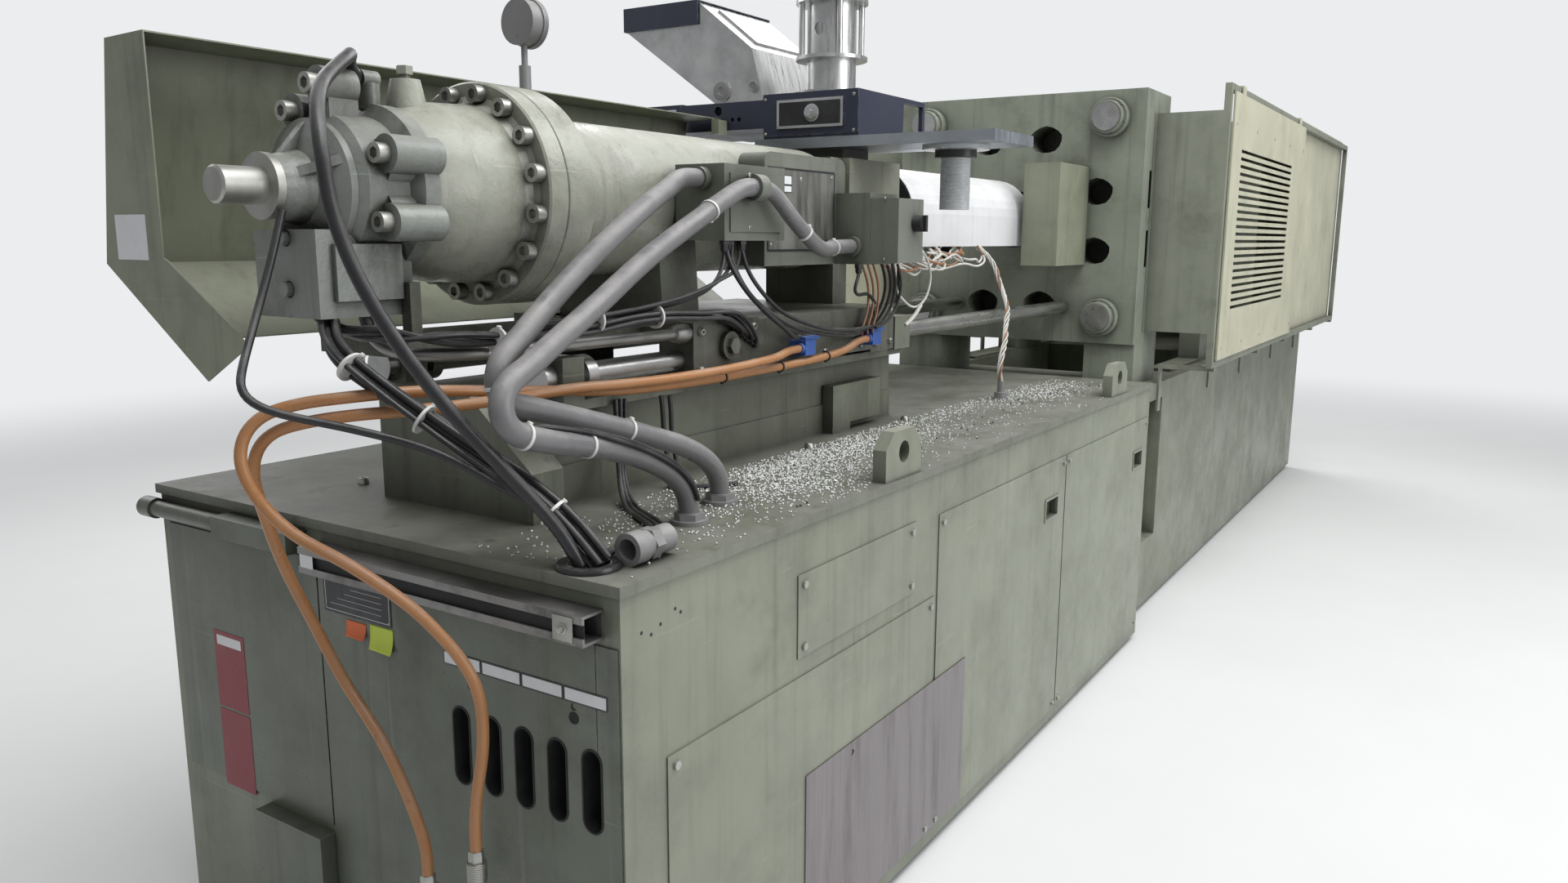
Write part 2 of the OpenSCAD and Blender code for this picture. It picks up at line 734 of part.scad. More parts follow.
module core_hole(y, z) {
  // A cast opening with five rounded corners, through the platen's rear wall
  along_x(platen_x - 1, platen_x + 170, [for (k = [0:4], a = [-24, 0, 24])
    let (r = a == 0 ? 72 : 69) [y + r * sin(72 * k + a) , z + 0.78 * r * cos(72 * k + a)]]);
}
module fixed_platen() {
  color(paint) difference() {
    union() {
      box([platen_x, -platen_w / 2, platen_z0], [mould_x, platen_w / 2, platen_z1]);
      both_sides() box([platen_x + 20, foot_y - 100, clamp_bed_h],
        [mould_x, foot_y + platen_foot_w, platen_z0 + 1]);
    }
    for (y = [-1, 1], z = [-1, 1])
      bar_x(platen_x - 1, mould_x + 1, y * tie_span / 2, axis_z + z * tie_span / 2, tie_d + 2 * seat_gap);
    bar_x(platen_x - 1, mould_x - 60, 0, axis_z, nozzle_hole_d);
    bar_x(mould_x - 61, mould_x + 1, 0, axis_z, ring_d);
    both_sides() {
      core_hole(128, axis_z + 325);
      core_hole(128, axis_z - 357);
      core_hole(352, axis_z + 110);
      core_hole(352, axis_z - 130);
      for (z = [axis_z + 120, axis_z - 120])
        box([platen_x + 90, platen_w / 2 - 60, z - 75], [platen_x + 250, platen_w / 2 + 1, z + 75]);
      for (x = [platen_x + 70, platen_x + 280]) bar_z(x, 210, platen_z1 - 45, platen_z1 + 1, 17.5);
    }
    for (y = [-1, 1], z = [-1, 1])
      bar_x(mould_x - 60, mould_x + 1, y * mould_hole, axis_z + z * mould_hole, 21);
  }
}

module tie_nut(x, s) {
  // Round nut with a smaller stepped end, pointing away from its platen
  bar_x(s > 0 ? x : x - nut_l * 0.66, s > 0 ? x + nut_l * 0.66 : x, 0, 0, nut_d);
  bar_x(s > 0 ? x : x - nut_l, s > 0 ? x + nut_l : x, 0, 0, nut_d - 24);
}
module tie_bars() {
  color(steel) for (y = [-1, 1], z = [-1, 1]) translate([0, y * tie_span / 2, axis_z + z * tie_span / 2]) {
    bar_x(platen_x - nut_l - 8, block_x + block_l + nut_l + 8, 0, 0, tie_d);
    tie_nut(platen_x, -1);
    tie_nut(block_x + block_l, 1);
  }
}

module moving_platen() {
  color(paint) difference() {
    union() {
      box([moving_x, -platen_w / 2, platen_z0], [moving_end, platen_w / 2, platen_z1]);
      both_sides() box([moving_x - 40, foot_y + 5, clamp_bed_h + strip_t + seat_gap],
        [moving_end + 40, foot_y + platen_foot_w - 5, platen_z0 + 1]);
    }
    for (y = [-1, 1], z = [-1, 1]) {
      bar_x(moving_x - 1, moving_end + 1, y * tie_span / 2, axis_z + z * tie_span / 2, tie_d + 2 * shaft_gap);
      bar_x(moving_x - 1, moving_x + 60, y * mould_hole, axis_z + z * mould_hole, 21);
    }
    bar_x(moving_x - 1, moving_x + 60, 0, axis_z, ring_d);
    both_sides() for (z = [axis_z + 120, axis_z - 120])
      box([moving_x + 80, platen_w / 2 - 60, z - 75], [moving_x + 240, platen_w / 2 + 1, z + 75]);
  }
}

module clamp_ram() {
  color(steel) {
    bar_x(moving_end, moving_end + ram_flange_t, 0, axis_z, ram_flange_d);
    bar_x(moving_end, ram_end, 0, axis_z, ram_d);
  }
}

module clamp_cylinder() {
  color(paint) difference() {
    union() {
      box([block_x, -platen_w / 2, platen_z0], [block_x + block_l, platen_w / 2, platen_z1]);
      both_sides() box([block_x, foot_y - 100, clamp_bed_h],
        [block_x + block_l, foot_y + platen_foot_w, platen_z0 + 1]);
      bar_x(block_x + block_l - 1, cyl_block_end, 0, axis_z, clamp_cyl_d, $fn = 72);
    }
    bar_x(block_x - 1, ram_floor, 0, axis_z, ram_d + 2 * shaft_gap);
    for (y = [-1, 1], z = [-1, 1])
      bar_x(block_x - 1, block_x + block_l + 1, y * tie_span / 2, axis_z + z * tie_span / 2,
        tie_d + 2 * seat_gap);
  }
}

// Guards of the clamp

rail_x0 = end_panel_x;
rail_z = gate_bottom - rail_h - seat_gap - 4;
top_rail_z = gate_top + 2;
end_z0 = axis_z - 461;
end_z1 = axis_z + 424;
bracket_xs = [for (t = [0, 940, 1700, 2640, rail_x1 - rail_x0 - 100]) rail_x0 + 60 + t];
module end_guards() {
  color(pale_paint) both_sides() {
    box([rail_x0 - sheet_t, platen_w / 2, end_z0], [rail_x0, rail_y0, end_z1]);
    box([rail_x0 - 30, platen_w / 2, end_z0], [rail_x0, platen_w / 2 + sheet_t, end_z1]);
    box([rail_x0 - sheet_t, rail_y0 - 1, rail_z], [rail_x0 + 26, rail_y1, top_rail_z + rail_h]);
    box([rail_x0, rail_y0, rail_z], [rail_x1, rail_y1, rail_z + rail_h]);
    box([rail_x0, rail_y0, top_rail_z], [rail_x1, rail_y1, top_rail_z + rail_h]);
    box([rail_x1 - 26, rail_y0, rail_z], [rail_x1, rail_y1, top_rail_z + rail_h]);
    for (x = bracket_xs) {
      box([x - 20, clamp_y, rail_z - 16], [x + 20, rail_y1, rail_z]);
      box([x - 20, clamp_y, clamp_bed_h - 120], [x + 20, clamp_y + 8, rail_z]);
    }
  }
}

gate_t = 3;
gate_fold = 8;
hanger_w = 60;
gate_y0 = rail_y1 + 2;
module gate_shell(window) {
  // Hung outside the rails, on two hooks over the top rail
  x1 = gate_x0 + gate_l;
  y0 = gate_y0;
  hook_z = top_rail_z + rail_h + seat_gap;
  difference() {
    box([gate_x0, y0, gate_bottom], [x1, y0 + gate_fold, gate_top]);
    box([gate_x0 + 20, y0 - 1, gate_bottom + 20], [x1 - 20, y0 + gate_fold - gate_t, gate_top - 20]);
    if (window) box([grille[0], y0 - 1, grille[2]], [grille[1], y0 + gate_fold + 1, grille[3]]);
    else louvres(y0 - 1, y0 + gate_fold + 1);
  }
  for (x = [gate_x0 + 140, x1 - 140 - hanger_w]) {
    box([x, y0, gate_top - 1], [x + hanger_w, y0 + 6, hook_z + 6]);
    box([x, rail_y0 - 6, hook_z], [x + hanger_w, y0 + 6, hook_z + 6]);
    box([x, rail_y0 - 6, hook_z - seat_gap - 14], [x + hanger_w, rail_y0 - 1, hook_z + 1]);
  }
}
module louvres(y0, y1) {
  pitch = (grille[3] - grille[2]) / louvre_n;
  for (i = [0:louvre_n - 1]) {
    z = grille[2] + (i + 0.5) * pitch;
    box([grille[0], y0, z - louvre_h / 2], [grille[1], y1, z + louvre_h / 2]);
  }
}
module near_gate() {
  color(pale_paint) mirror([0, 1, 0]) gate_shell(false);
}
handle_x = gate_x0 + 104;
handle_z = axis_z - 63;
handle_h = 280;
module operator_gate() {
  y0 = gate_y0;
  color(pale_paint) {
    gate_shell(true);
    bar_z(handle_x, y0 + 48, handle_z - handle_h / 2, handle_z + handle_h / 2, 26);
    for (z = [handle_z - handle_h / 2 + 20, handle_z + handle_h / 2 - 20])
      bar_y(handle_x, y0 + gate_fold - 0.5, y0 + 48, z, 16);
  }
  color([0.6, 0.7, 0.75]) box([grille[0], y0 + 2, grille[2]], [grille[1], y0 + 6, grille[3]]);
}

module clamp_covers() {
  z0 = rail_z;
  color(pale_paint) {
    both_sides() {
      box([hood_x0, skin_y - sheet_t, z0], [hood_x1, skin_y, hood_top]);
      box([hood_x0, clamp_y, z0], [hood_x1, skin_y, z0 + sheet_t]);
    }
    box([hood_x0, -skin_y, hood_top - sheet_t], [hood_x1, skin_y, hood_top]);
    box([hood_x1 - sheet_t, -skin_y, z0], [hood_x1, skin_y, hood_top]);
    both_sides() box([hood_x1 - 30, clamp_y, clamp_bed_h - 100], [hood_x1, clamp_y + sheet_t, z0 + 1]);
  }
}

panel_box = [rail_x0 - 440, rail_x0 - 10, 620, 790, axis_z - 383, axis_z + 197];
button_x = panel_box[0] + 100;
button_z = panel_box[4] + 100;
button_d = 40;
button_travel = 6;
module control_panel() {
  b = panel_box;
  color([0.70, 0.70, 0.66]) difference() {
    union() {
      box([b[0], b[2], b[4]], [b[1], b[3], b[5]]);
      box([b[1] - 1, b[2] + 20, b[4] + 60], [rail_x0 - sheet_t, b[3] - 20, b[5] - 60]);
    }
    box([b[0] + 50, b[3] - 6, b[4] + 280], [b[1] - 50, b[3] + 1, b[5] - 60]);
    bar_y(button_x, b[3] - 25, b[3] + 1, button_z, 16 + 2 * shaft_gap);
  }
  color(dark) {
    box([b[0] + 54, b[3] - 6, b[4] + 284], [b[1] - 54, b[3] - 2, b[5] - 64]);
    for (i = [0:5], k = [0:1])
      translate([b[0] + 170 + i * 34, b[3], b[4] + 80 + k * 40]) cube([24, 4, 24]);
  }
}
module stop_button() {
  y = panel_box[3];
  color("red") {
    bar_y(button_x, y + button_travel + 2, y + button_travel + 16, button_z, button_d);
    bar_y(button_x, y - 18, y + button_travel + 3, button_z, 16);
  }
}

purge = [platen_x - 350, 175, 320, axis_z - 186, axis_z + 210];
module purge_guard() {
  p = purge;
  color(paint) mirror([0, 1, 0]) difference() {
    box([p[0], p[1], p[3]], [platen_x, p[2], p[4]]);
    box([p[0] + sheet_t, p[1] - 1, p[3] - 1], [platen_x - sheet_t, p[2] - sheet_t, p[4] - sheet_t]);
  }
}

// The carriage and what it carries beside the cylinder

module carriage() {
  color(paint) difference() {
    union() {
      both_sides() {
        box([block_1[0], rod_y - rod_block_y, block_z0], [block_1[1], rod_y + rod_block_y, block_z1]);
        box([block_2[0], rod_y - rod_block_y, block_z0], [block_2[1], rod_y + rod_block_y, plate_z + 10]);
        box([60, 90, plate_z], [block_1[0] + 1, 130, plate_z + plate_t]);
      }
      box([block_1[0], -rod_y - rod_block_y, plate_z], [block_2[1], rod_y + rod_block_y, plate_z + plate_t]);
      box([60, -131, plate_z], [110, 131, plate_z + plate_t]);
      // Saddle under the cylinder and the foot of the feed block
      along_x(block_1[0] + 40, block_1[1] - 80, [[-165, plate_z + plate_t - 1], [165, plate_z + plate_t - 1],
        [150, axis_z], [-150, axis_z]]);
      box([throat_x0 + 20, -120, plate_z + plate_t - 1], [block_2[1], 120, axis_z - throat_r]);
      // Leg behind the motor's port block, and the plate that carries the couplings
      box([82, -116, plate_z + plate_t - 1], [106, -90, port[3] + 60]);
      mirror([0, 1, 0]) {
        box([block_1[1] - 1, rod_y + 38, block_z0 + 8], [block_2[0] + 1, rod_y + rod_block_y, plate_z + 1]);
        bar_y(850, rod_y + rod_block_y - 1, rod_y + rod_block_y + 14, rod_z + 30, 66);
        bar_y(850, rod_y + rod_block_y, rod_y + rod_block_y + 26, rod_z + 30, 40, $fn = 6);
      }
    }
    bar_x(700, 960, 0, axis_z, cyl_d + 2 * seat_gap, $fn = 72);
    both_sides() bar_x(block_1[0] - 1, block_2[1] + 1, rod_y, rod_z, rod_d + 2 * shaft_gap);
  }
}

module far_guard() {
  g = guard_pts;
  color(paint) {
    along_x(guard_x0, guard_x1, sheet_band(g, sheet_t));
    // Wide folded edge at the rear end
    along_x(guard_x0, guard_x0 + sheet_t, [g[0], g[1], g[2], g[3], [199, g[3][1] - 66], [60, g[3][1] + 8],
      [300, g[2][1] + 8], [315, g[2][1] + 14]]);
    // Stays to the carriage, and a tab at the front end
    for (x = [block_1[0] + 60, block_2[0] + 40])
      box([x, rod_y + rod_block_y, plate_z + 8], [x + 80, g[3][0] + 6, plate_z + plate_t - 7]);
    box([guard_x1 - 45, g[0][0] - 25, g[0][1] - 50], [guard_x1, g[0][0], g[0][1] - 8]);
    box([guard_x1 - 45, g[0][0] - 1, g[0][1] - 50], [guard_x1, g[0][0] + 2, g[0][1]]);
  }
}

gauge_t = 44;
module gauge() {
  top = guard_pts[0][1];
  color(steel) {
    bar_z(gauge_x, gauge_y, top, gauge_z - gauge_d / 2 + 3, 16);
    bar_x(gauge_x - gauge_t / 2, gauge_x + gauge_t / 2, gauge_y, gauge_z, gauge_d);
    bar_x(gauge_x + gauge_t / 2 - 8, gauge_x + gauge_t / 2 + 4, gauge_y, gauge_z, gauge_d + 8);
  }
  color(dark) bar_z(gauge_x, gauge_y, top, top + 58, 30);
}

coupling_xs = [1116, 1475];
coupling_y = -rod_y - rod_block_y;
module hose_couplings() {
  color([0.15, 0.25, 0.60]) for (x = coupling_xs) {
    box([x + 12, coupling_y - 46, rod_z - 16], [x + 62, coupling_y, rod_z + 22]);
    box([x + 20, coupling_y - 40, rod_z + 22], [x + 92, coupling_y - 14, rod_z + 30]);
  }
  color(steel) for (x = coupling_xs) bar_x(x + seat_gap, x + 12, coupling_y - 33, rod_z + 2, 26);
}
module air_hose_1() { color(copper) cord(air_route_1, air_d); }
module air_hose_2() { color(copper) cord(air_route_2, air_d); }
fitting_l = 62;
module hose_end(route) {
  p = route[len(route) - 1] + [0, 0, bed_h];
  bar_z(p[0], p[1], p[2] - 22, p[2] - seat_gap, air_d + 7, $fn = 6);
  bar_z(p[0], p[1], p[2] - fitting_l, p[2] - 22, air_d + 15);
}
module hose_ends() {
  color(steel) {
    hose_end(air_route_1);
    hose_end(air_route_2);
  }
}

// The injection cylinder, its head and the motor

function bolt_places() = [for (i = [0:bolt_n - 1]) 180 / bolt_n + i * 360 / bolt_n];
module at_angle(a, r) { translate([0, r * cos(a), axis_z + r * sin(a)]) children(); }

module injection_cylinder() {
  r = cyl_d / 2;
  color(paint) difference() {
    union() {
      turned([[joint_x, 0], [joint_x, flange_d / 2 - 2], [joint_x + 2, flange_d / 2],
        [body_x - 4, flange_d / 2], [body_x, flange_d / 2 - 4], [body_x, r], [body_x, 0]]);
      turned(concat([[body_x - 1, 0], [body_x - 1, r + 16], [body_x + 16, r]],
        [for (a = [90:-15:0]) [cyl_end - cyl_round + cyl_round * cos(a), r - cyl_round + cyl_round * sin(a)]],
        [[cyl_end, 0]]));
    }
    bar_x(joint_x - 1, wall_x, 0, axis_z, cyl_bore_d, $fn = 72);
    bar_x(wall_x - 1, wall_x + wall_t + 1, 0, axis_z, rod_bore_d + 2 * shaft_gap);
    bar_x(wall_x + wall_t, cyl_end - cyl_round, 0, axis_z, 2 * lantern_r, $fn = 72);
    bar_x(cyl_end - cyl_round - 1, cyl_end + 1, 0, axis_z, screw_d + 2 * shaft_gap + 5);
    for (a = bolt_places()) at_angle(a, bolt_circle_d / 2)
      bar_x(joint_x - 1, joint_x + cap_screw_l - head_flange_t + 4, 0, 0, bolt_d + hole_gap);
  }
}

vent_x = 190;
module cylinder_head() {
  color(paint) difference() {
    union() {
      turned([[head_x, 0], [head_x, head_r0], [head_x + 18, head_r0 + 3], [head_x + 80, head_r1],
        [flange_x - 22, head_r2], [flange_x - 6, head_r2 + 6], [flange_x, head_r2 + 18],
        [flange_x, flange_d / 2 - 4], [flange_x + 4, flange_d / 2],
        [joint_x - 3, flange_d / 2], [joint_x, flange_d / 2 - 3], [joint_x, 0]]);
      translate([vent_x, 0, axis_z + head_r1 - 40]) cylinder(h = 79, d1 = 92, d2 = 56);
    }
    bar_x(head_x - 1, joint_x + 1, 0, axis_z, screw_tang_d + 20);
    bar_x(head_x + 60, joint_x + 1, 0, axis_z, cyl_bore_d - 20);
    for (a = bolt_places()) at_angle(a, bolt_circle_d / 2) {
      bar_x(flange_x - 30, joint_x + 1, 0, 0, bolt_d + hole_gap);
      bar_x(flange_x - 40, flange_x, 0, 0, bolt_d * 1.5 + 4);
    }
  }
  color(dark) {
    bar_z(vent_x, 0, axis_z + head_r1 + 39, axis_z + head_r1 + 58, 20);
    bar_z(vent_x, 0, axis_z + head_r1 + 48, axis_z + head_r1 + 64, 32, $fn = 6);
  }
}

module cap_screw(x, l = cap_screw_l) {
  // Head's back at x, pointing forwards, with its hexagon socket
  difference() {
    union() {
      bar_x(x - cap_head_h, x, 0, 0, 2 * screw_head_r);
      bar_x(x - 1, x + l, 0, 0, bolt_d);
    }
    bar_x(x - cap_head_h - 1, x - cap_head_h / 2, 0, 0, bolt_d * 0.9, $fn = 6);
  }
}
module cap_screws() {
  color(steel) {
    for (a = bolt_places()) at_angle(a, bolt_circle_d / 2) cap_screw(flange_x);
    for (a = ear_angles) at_angle(a, ear_r) cap_screw(ear_x);
    for (p = boss_places) translate([0, p[0], axis_z + p[1]]) cap_screw(boss_x, boss_screw_l);
  }
}

module motor_case() {
  color(blue_paint) difference() {
    union() {
      turned([[case_x, 0], [case_x, case_r - 14], [case_x + 14, case_r],
        [head_x - 50, case_r], [head_x - 34, head_r0 + 6], [head_x, head_r0 + 6], [head_x, 0]]);
      for (a = ear_angles) at_angle(a, ear_r) bar_x(ear_x, head_x, 0, 0, ear_d);
      for (a = ear_angles) at_angle(a, ear_r - 45) bar_x(ear_x + 10, head_x, 0, 0, ear_d + 20);
      for (p = boss_places) translate([0, p[0], axis_z + p[1]]) {
        bar_x(boss_x, boss_end, 0, 0, ear_d - 4);
        box([boss_x + 8, -22, -62], [boss_end, 22, 0]);
      }
      box([port[0], -port[2], port[3]], [port[1], port[2], port[4]]);
      box([port[0] + 30, -port[2] - 12, port[3] + 30], [port[1] - 30, port[2] + 12, port[4] - 25]);
    }
    bar_x(case_x - 1, head_x + 1, 0, axis_z, 2 * (screw_tang_d / 2 + 10));
    for (a = ear_angles) at_angle(a, ear_r) bar_x(ear_x - 1, head_x + 1, 0, 0, bolt_d + hole_gap);
    for (p = boss_places) translate([0, p[0], axis_z + p[1]])
      bar_x(boss_x - 1, boss_x + boss_screw_l + 2, 0, 0, bolt_d + hole_gap);
    // Room for the rear cover over the port block
    turned(concat([[port[0] - 1, 0]], [for (p = cover_line) [p[0], p[1] + seat_gap]], [[case_x, 0]]));
    for (z = port_screw_zs) bar_x(port[0] - 1, port[0] + 12, -5, z, 30);
  }
  // Screws of the port block, and the elbow for the hose on top of the case
  color(steel) {
    for (z = port_screw_zs) bar_x(port[0] - 12, port[0] + 12, -5, z, 26);
    bar_z(hose_port_x, 0, axis_z + head_r0 - 4, hose_port_z - 8, 40);
    bar_z(hose_port_x, 0, axis_z + head_r0, hose_port_z, 30);
    bar_x(hose_port_x - 20, hose_port_x + 16, 0, hose_port_z, 32);
  }
}

// Outline of the motor's rear cover, from its thin end to its rim
cover_line = [[cover_x, 54], [cover_x + 20, 57], [-60, 66], [case_x - 30, 92], [case_x - 14, 122],
  [case_x, 122]];
hose_port_x = 106;
hose_port_z = axis_z + 203;
module motor_cover() {
  rib = 9;
  color(blue_paint) {
    difference() {
      turned(concat([[cover_x, 0]], cover_line, [[case_x, 0]]));
      bar_x(cover_x - 1, case_x + 1, 0, axis_z, 44);
    }
    for (a = [25, 90, 155]) translate([0, 0, axis_z]) rotate([a - 90, 0, 0])
      along_y(-rib, rib, [[case_x - 12, 50], [case_x - 12, 121], [-92, 55]]);
  }
}

module shaft_cap() {
  color(steel) {
    turned([[cap_x, 0], [cap_x, cap_d / 2 - 4], [cap_x + 4, cap_d / 2], [cover_x - cap_collar_t, cap_d / 2],
      [cover_x - cap_collar_t, cap_collar_d / 2], [cover_x, cap_collar_d / 2], [cover_x, 0]]);
  }
}

module injection_piston() {
  color(steel) difference() {
    union() {
      bar_x(piston_x, piston_x + piston_l, 0, axis_z, cyl_bore_d - 2 * shaft_gap, $fn = 72);
      bar_x(piston_x, rod_end, 0, axis_z, rod_bore_d);
    }
    bar_x(rod_end - tang_l - 5, rod_end + 1, 0, axis_z, screw_tang_d + 2 * shaft_gap);
  }
}

// The barrel, the screw and the feed

module screw() {
  x1 = barrel_x1 - barrel_wall - tip_gap - tip_l - stroke;
  x0 = throat_x - 80 - stroke / 2;
  pitch = (x1 - x0) / flight_n;
  root_d = screw_d - 2 * flight_h;
  color(steel) {
    bar_x(rod_end - tang_l, rod_end + 1, 0, axis_z, screw_tang_d);
    bar_x(rod_end + 0.5, x0, 0, axis_z, screw_d - 2 * shaft_gap);
    bar_x(x0 - 1, x1, 0, axis_z, root_d);
    for (i = [0:flight_n - 1]) let (x = x0 + (i + 0.4) * pitch)
      bar_x(x, x + flight_w, 0, axis_z, screw_d - 2 * shaft_gap);
    turned([[x1 - 1, 0], [x1 - 1, root_d / 2], [x1 + 14, root_d / 2], [x1 + tip_l, 6], [x1 + tip_l, 0]]);
  }
}

module barrel() {
  color(steel) difference() {
    union() {
      turned([[barrel_x0, 0], [barrel_x0, barrel_d / 2], [barrel_x1 - 90, barrel_d / 2],
        [barrel_x1 - 86, barrel_d / 2 + 8], [barrel_x1 - 4, barrel_d / 2 + 8], [barrel_x1, barrel_d / 2 + 4], [barrel_x1, nozzle_d / 2 + 12],
        [barrel_x1 + 40, nozzle_d / 2 + 12], [barrel_x1 + 52, nozzle_d / 2], [nozzle_x - 40, nozzle_d / 2],
        [nozzle_x, 14], [nozzle_x, 0]]);
      for (i = [0:band_n - 1]) bar_x(band_x0 + i * band_pitch, band_x0 + i * band_pitch + band_w, 0, axis_z, band_d);
    }
    bar_x(barrel_x0 - 1, barrel_x1 - barrel_wall, 0, axis_z, screw_d, $fn = 72);
    bar_x(barrel_x1 - barrel_wall - 1, nozzle_x + 1, 0, axis_z, 8);
    bar_z(throat_x, 0, axis_z, axis_z + barrel_d, feed_d);
  }
}

module barrel_cover() {
  t = sheet_t;
  arch = [for (a = [0:12:180]) [cover_r * cos(a), axis_z + cover_r * sin(a)]];
  line = concat([[cover_r, cover_side_z]], arch, [[-cover_r, cover_side_z]]);
  color([0.85, 0.86, 0.86]) {
    along_x(cover_x0, cover_x0 + cover_l, sheet_band([for (i = [len(line) - 1:-1:0]) line[i]], t));
    // Carriers between the heater bands
    for (i = [0, band_n - 2]) let (x = band_x0 + i * band_pitch + band_w + 10) difference() {
      along_x(x, x + 4, [for (p = line) [p[0] * (cover_r - 1) / cover_r, min(p[1], axis_z + (p[1] - axis_z) * 0.994)]]);
      bar_x(x - 1, x + 5, 0, axis_z, barrel_d + 2 * seat_gap);
      box([x - 1, -barrel_d / 2 - seat_gap, cover_side_z - 1], [x + 5, barrel_d / 2 + seat_gap, axis_z]);
    }
  }
}

module feed_throat() {
  color(paint) difference() {
    union() {
      box([throat_x0, -throat_r, axis_z - throat_r], [throat_x1, throat_r, axis_z + throat_r]);
      box([throat_x - 80, -90, axis_z + throat_r - 1], [throat_x + 80, 90, slide_z]);
    }
    bar_x(barrel_x0, throat_x1 + 1, 0, axis_z, barrel_d + 2 * seat_gap);
    bar_x(throat_x0 - 1, barrel_x0 + 1, 0, axis_z, screw_d + 2 * shaft_gap + 5);
    bar_z(throat_x, 0, axis_z + 40, slide_z + 1, feed_d);
    both_sides() for (x = [throat_x0 - 1, throat_x1 - 59])
      box([x, throat_r - 30, axis_z - throat_r - 1], [x + 60, throat_r + 1, axis_z + throat_r + 1]);
  }
}

module slide_plate() {
  color(steel) difference() {
    box([slide_x0, slide_y0, slide_z], [slide_x1, slide_y1, slide_top]);
    for (y = [0, -slide_travel]) bar_z(throat_x, y, slide_z - 1, slide_top + 1, feed_d);
    for (x = [slide_x0 + 30, slide_x1 - 30], y = [-60, 60]) bar_z(x, y, slide_top - 12, slide_top + 1, 26);
  }
}
spout_flange_d = 196;
spout_d = 86;
spout_end = slide_z - 182;
module drain_spout() {
  color([0.6, 0.66, 0.7]) difference() {
    union() {
      bar_z(throat_x, -slide_travel, slide_z - 12, slide_z, spout_flange_d);
      bar_z(throat_x, -slide_travel, slide_z - 34, slide_z - 11, spout_d + 34);
      bar_z(throat_x, -slide_travel, spout_end, slide_z - 33, spout_d);
    }
    bar_z(throat_x, -slide_travel, spout_end - 1, slide_z + 1, spout_d - 8);
  }
}

// The hopper on its slide

module hopper_base() {
  w = box_wall;
  color(dark) difference() {
    union() {
      box([slide_x0 + 3, box_y0, slide_top + seat_gap], [slide_x1 - 3, box_y1, slide_top + base_plate_t]);
      box([slide_x0, box_y0, slide_top + base_plate_t - 1], [slide_x1, box_y1, box_top]);
    }
    box([slide_x0 - 1, drawer_y0, drawer_z0], [slide_x1 - w, drawer_y1, drawer_z1]);
    bar_z(neck_x, 0, slide_top, box_top + 1, feed_d);
  }
  // Side frame, the square case under the hopper and the tray beside it
  color(dark) {
    box([slide_x1 - 1, box_y0, box_top - 15], [slide_x1 + 150, box_y0 + 15, box_top]);
    box([slide_x1 + 135, box_y0, slide_top + base_plate_t], [slide_x1 + 150, box_y0 + 15, box_top]);
    box([slide_x1 - 1, box_y0, slide_top + base_plate_t], [slide_x1 + 150, box_y0 + 15, slide_top + base_plate_t + 12]);
  }
  color(grey) difference() {
    box([slide_x0, box_y1, tray_z - 85], [hopper_x1, tray_y0, tray_z]);
    for (y = [250, 275]) bar_x(slide_x0 - 1, slide_x0 + 12, y, tray_z - 53, 14);
    bar_x(slide_x0 - 1, slide_x0 + 20, 330, tray_z - 25, 30);
  }
  color(dark) difference() {
    box([slide_x0 + 10, tray_y0, tray_z - 80], [hopper_x1, tray_y1, tray_z + 5]);
    box([slide_x0 + 16, tray_y0 + 6, tray_z - 75], [hopper_x1 - 6, tray_y1 - 6, tray_z + 6]);
  }
}

module magnet_drawer() {
  g = 0.5;
  color(steel) difference() {
    box([slide_x0 - 6, drawer_y0 + g, drawer_z0 + g], [slide_x1 - box_wall - 8, drawer_y1 - g, drawer_z1 - g]);
    for (i = [0:2]) box([slide_x0 + 24 + i * 84, drawer_y0 + 14, drawer_z0 - 1],
      [slide_x0 + 96 + i * 84, drawer_y1 - 14, drawer_z1 + 1]);
  }
  color([0.7, 0.7, 0.72]) {
    for (i = [0:2]) bar_y(slide_x0 + 60 + i * 84, drawer_y0 + 13, drawer_y1 - 13, (drawer_z0 + drawer_z1) / 2, 26);
    bar_x(slide_x0 - 30, slide_x0 - 5, -20, (drawer_z0 + drawer_z1) / 2, 22);
  }
}

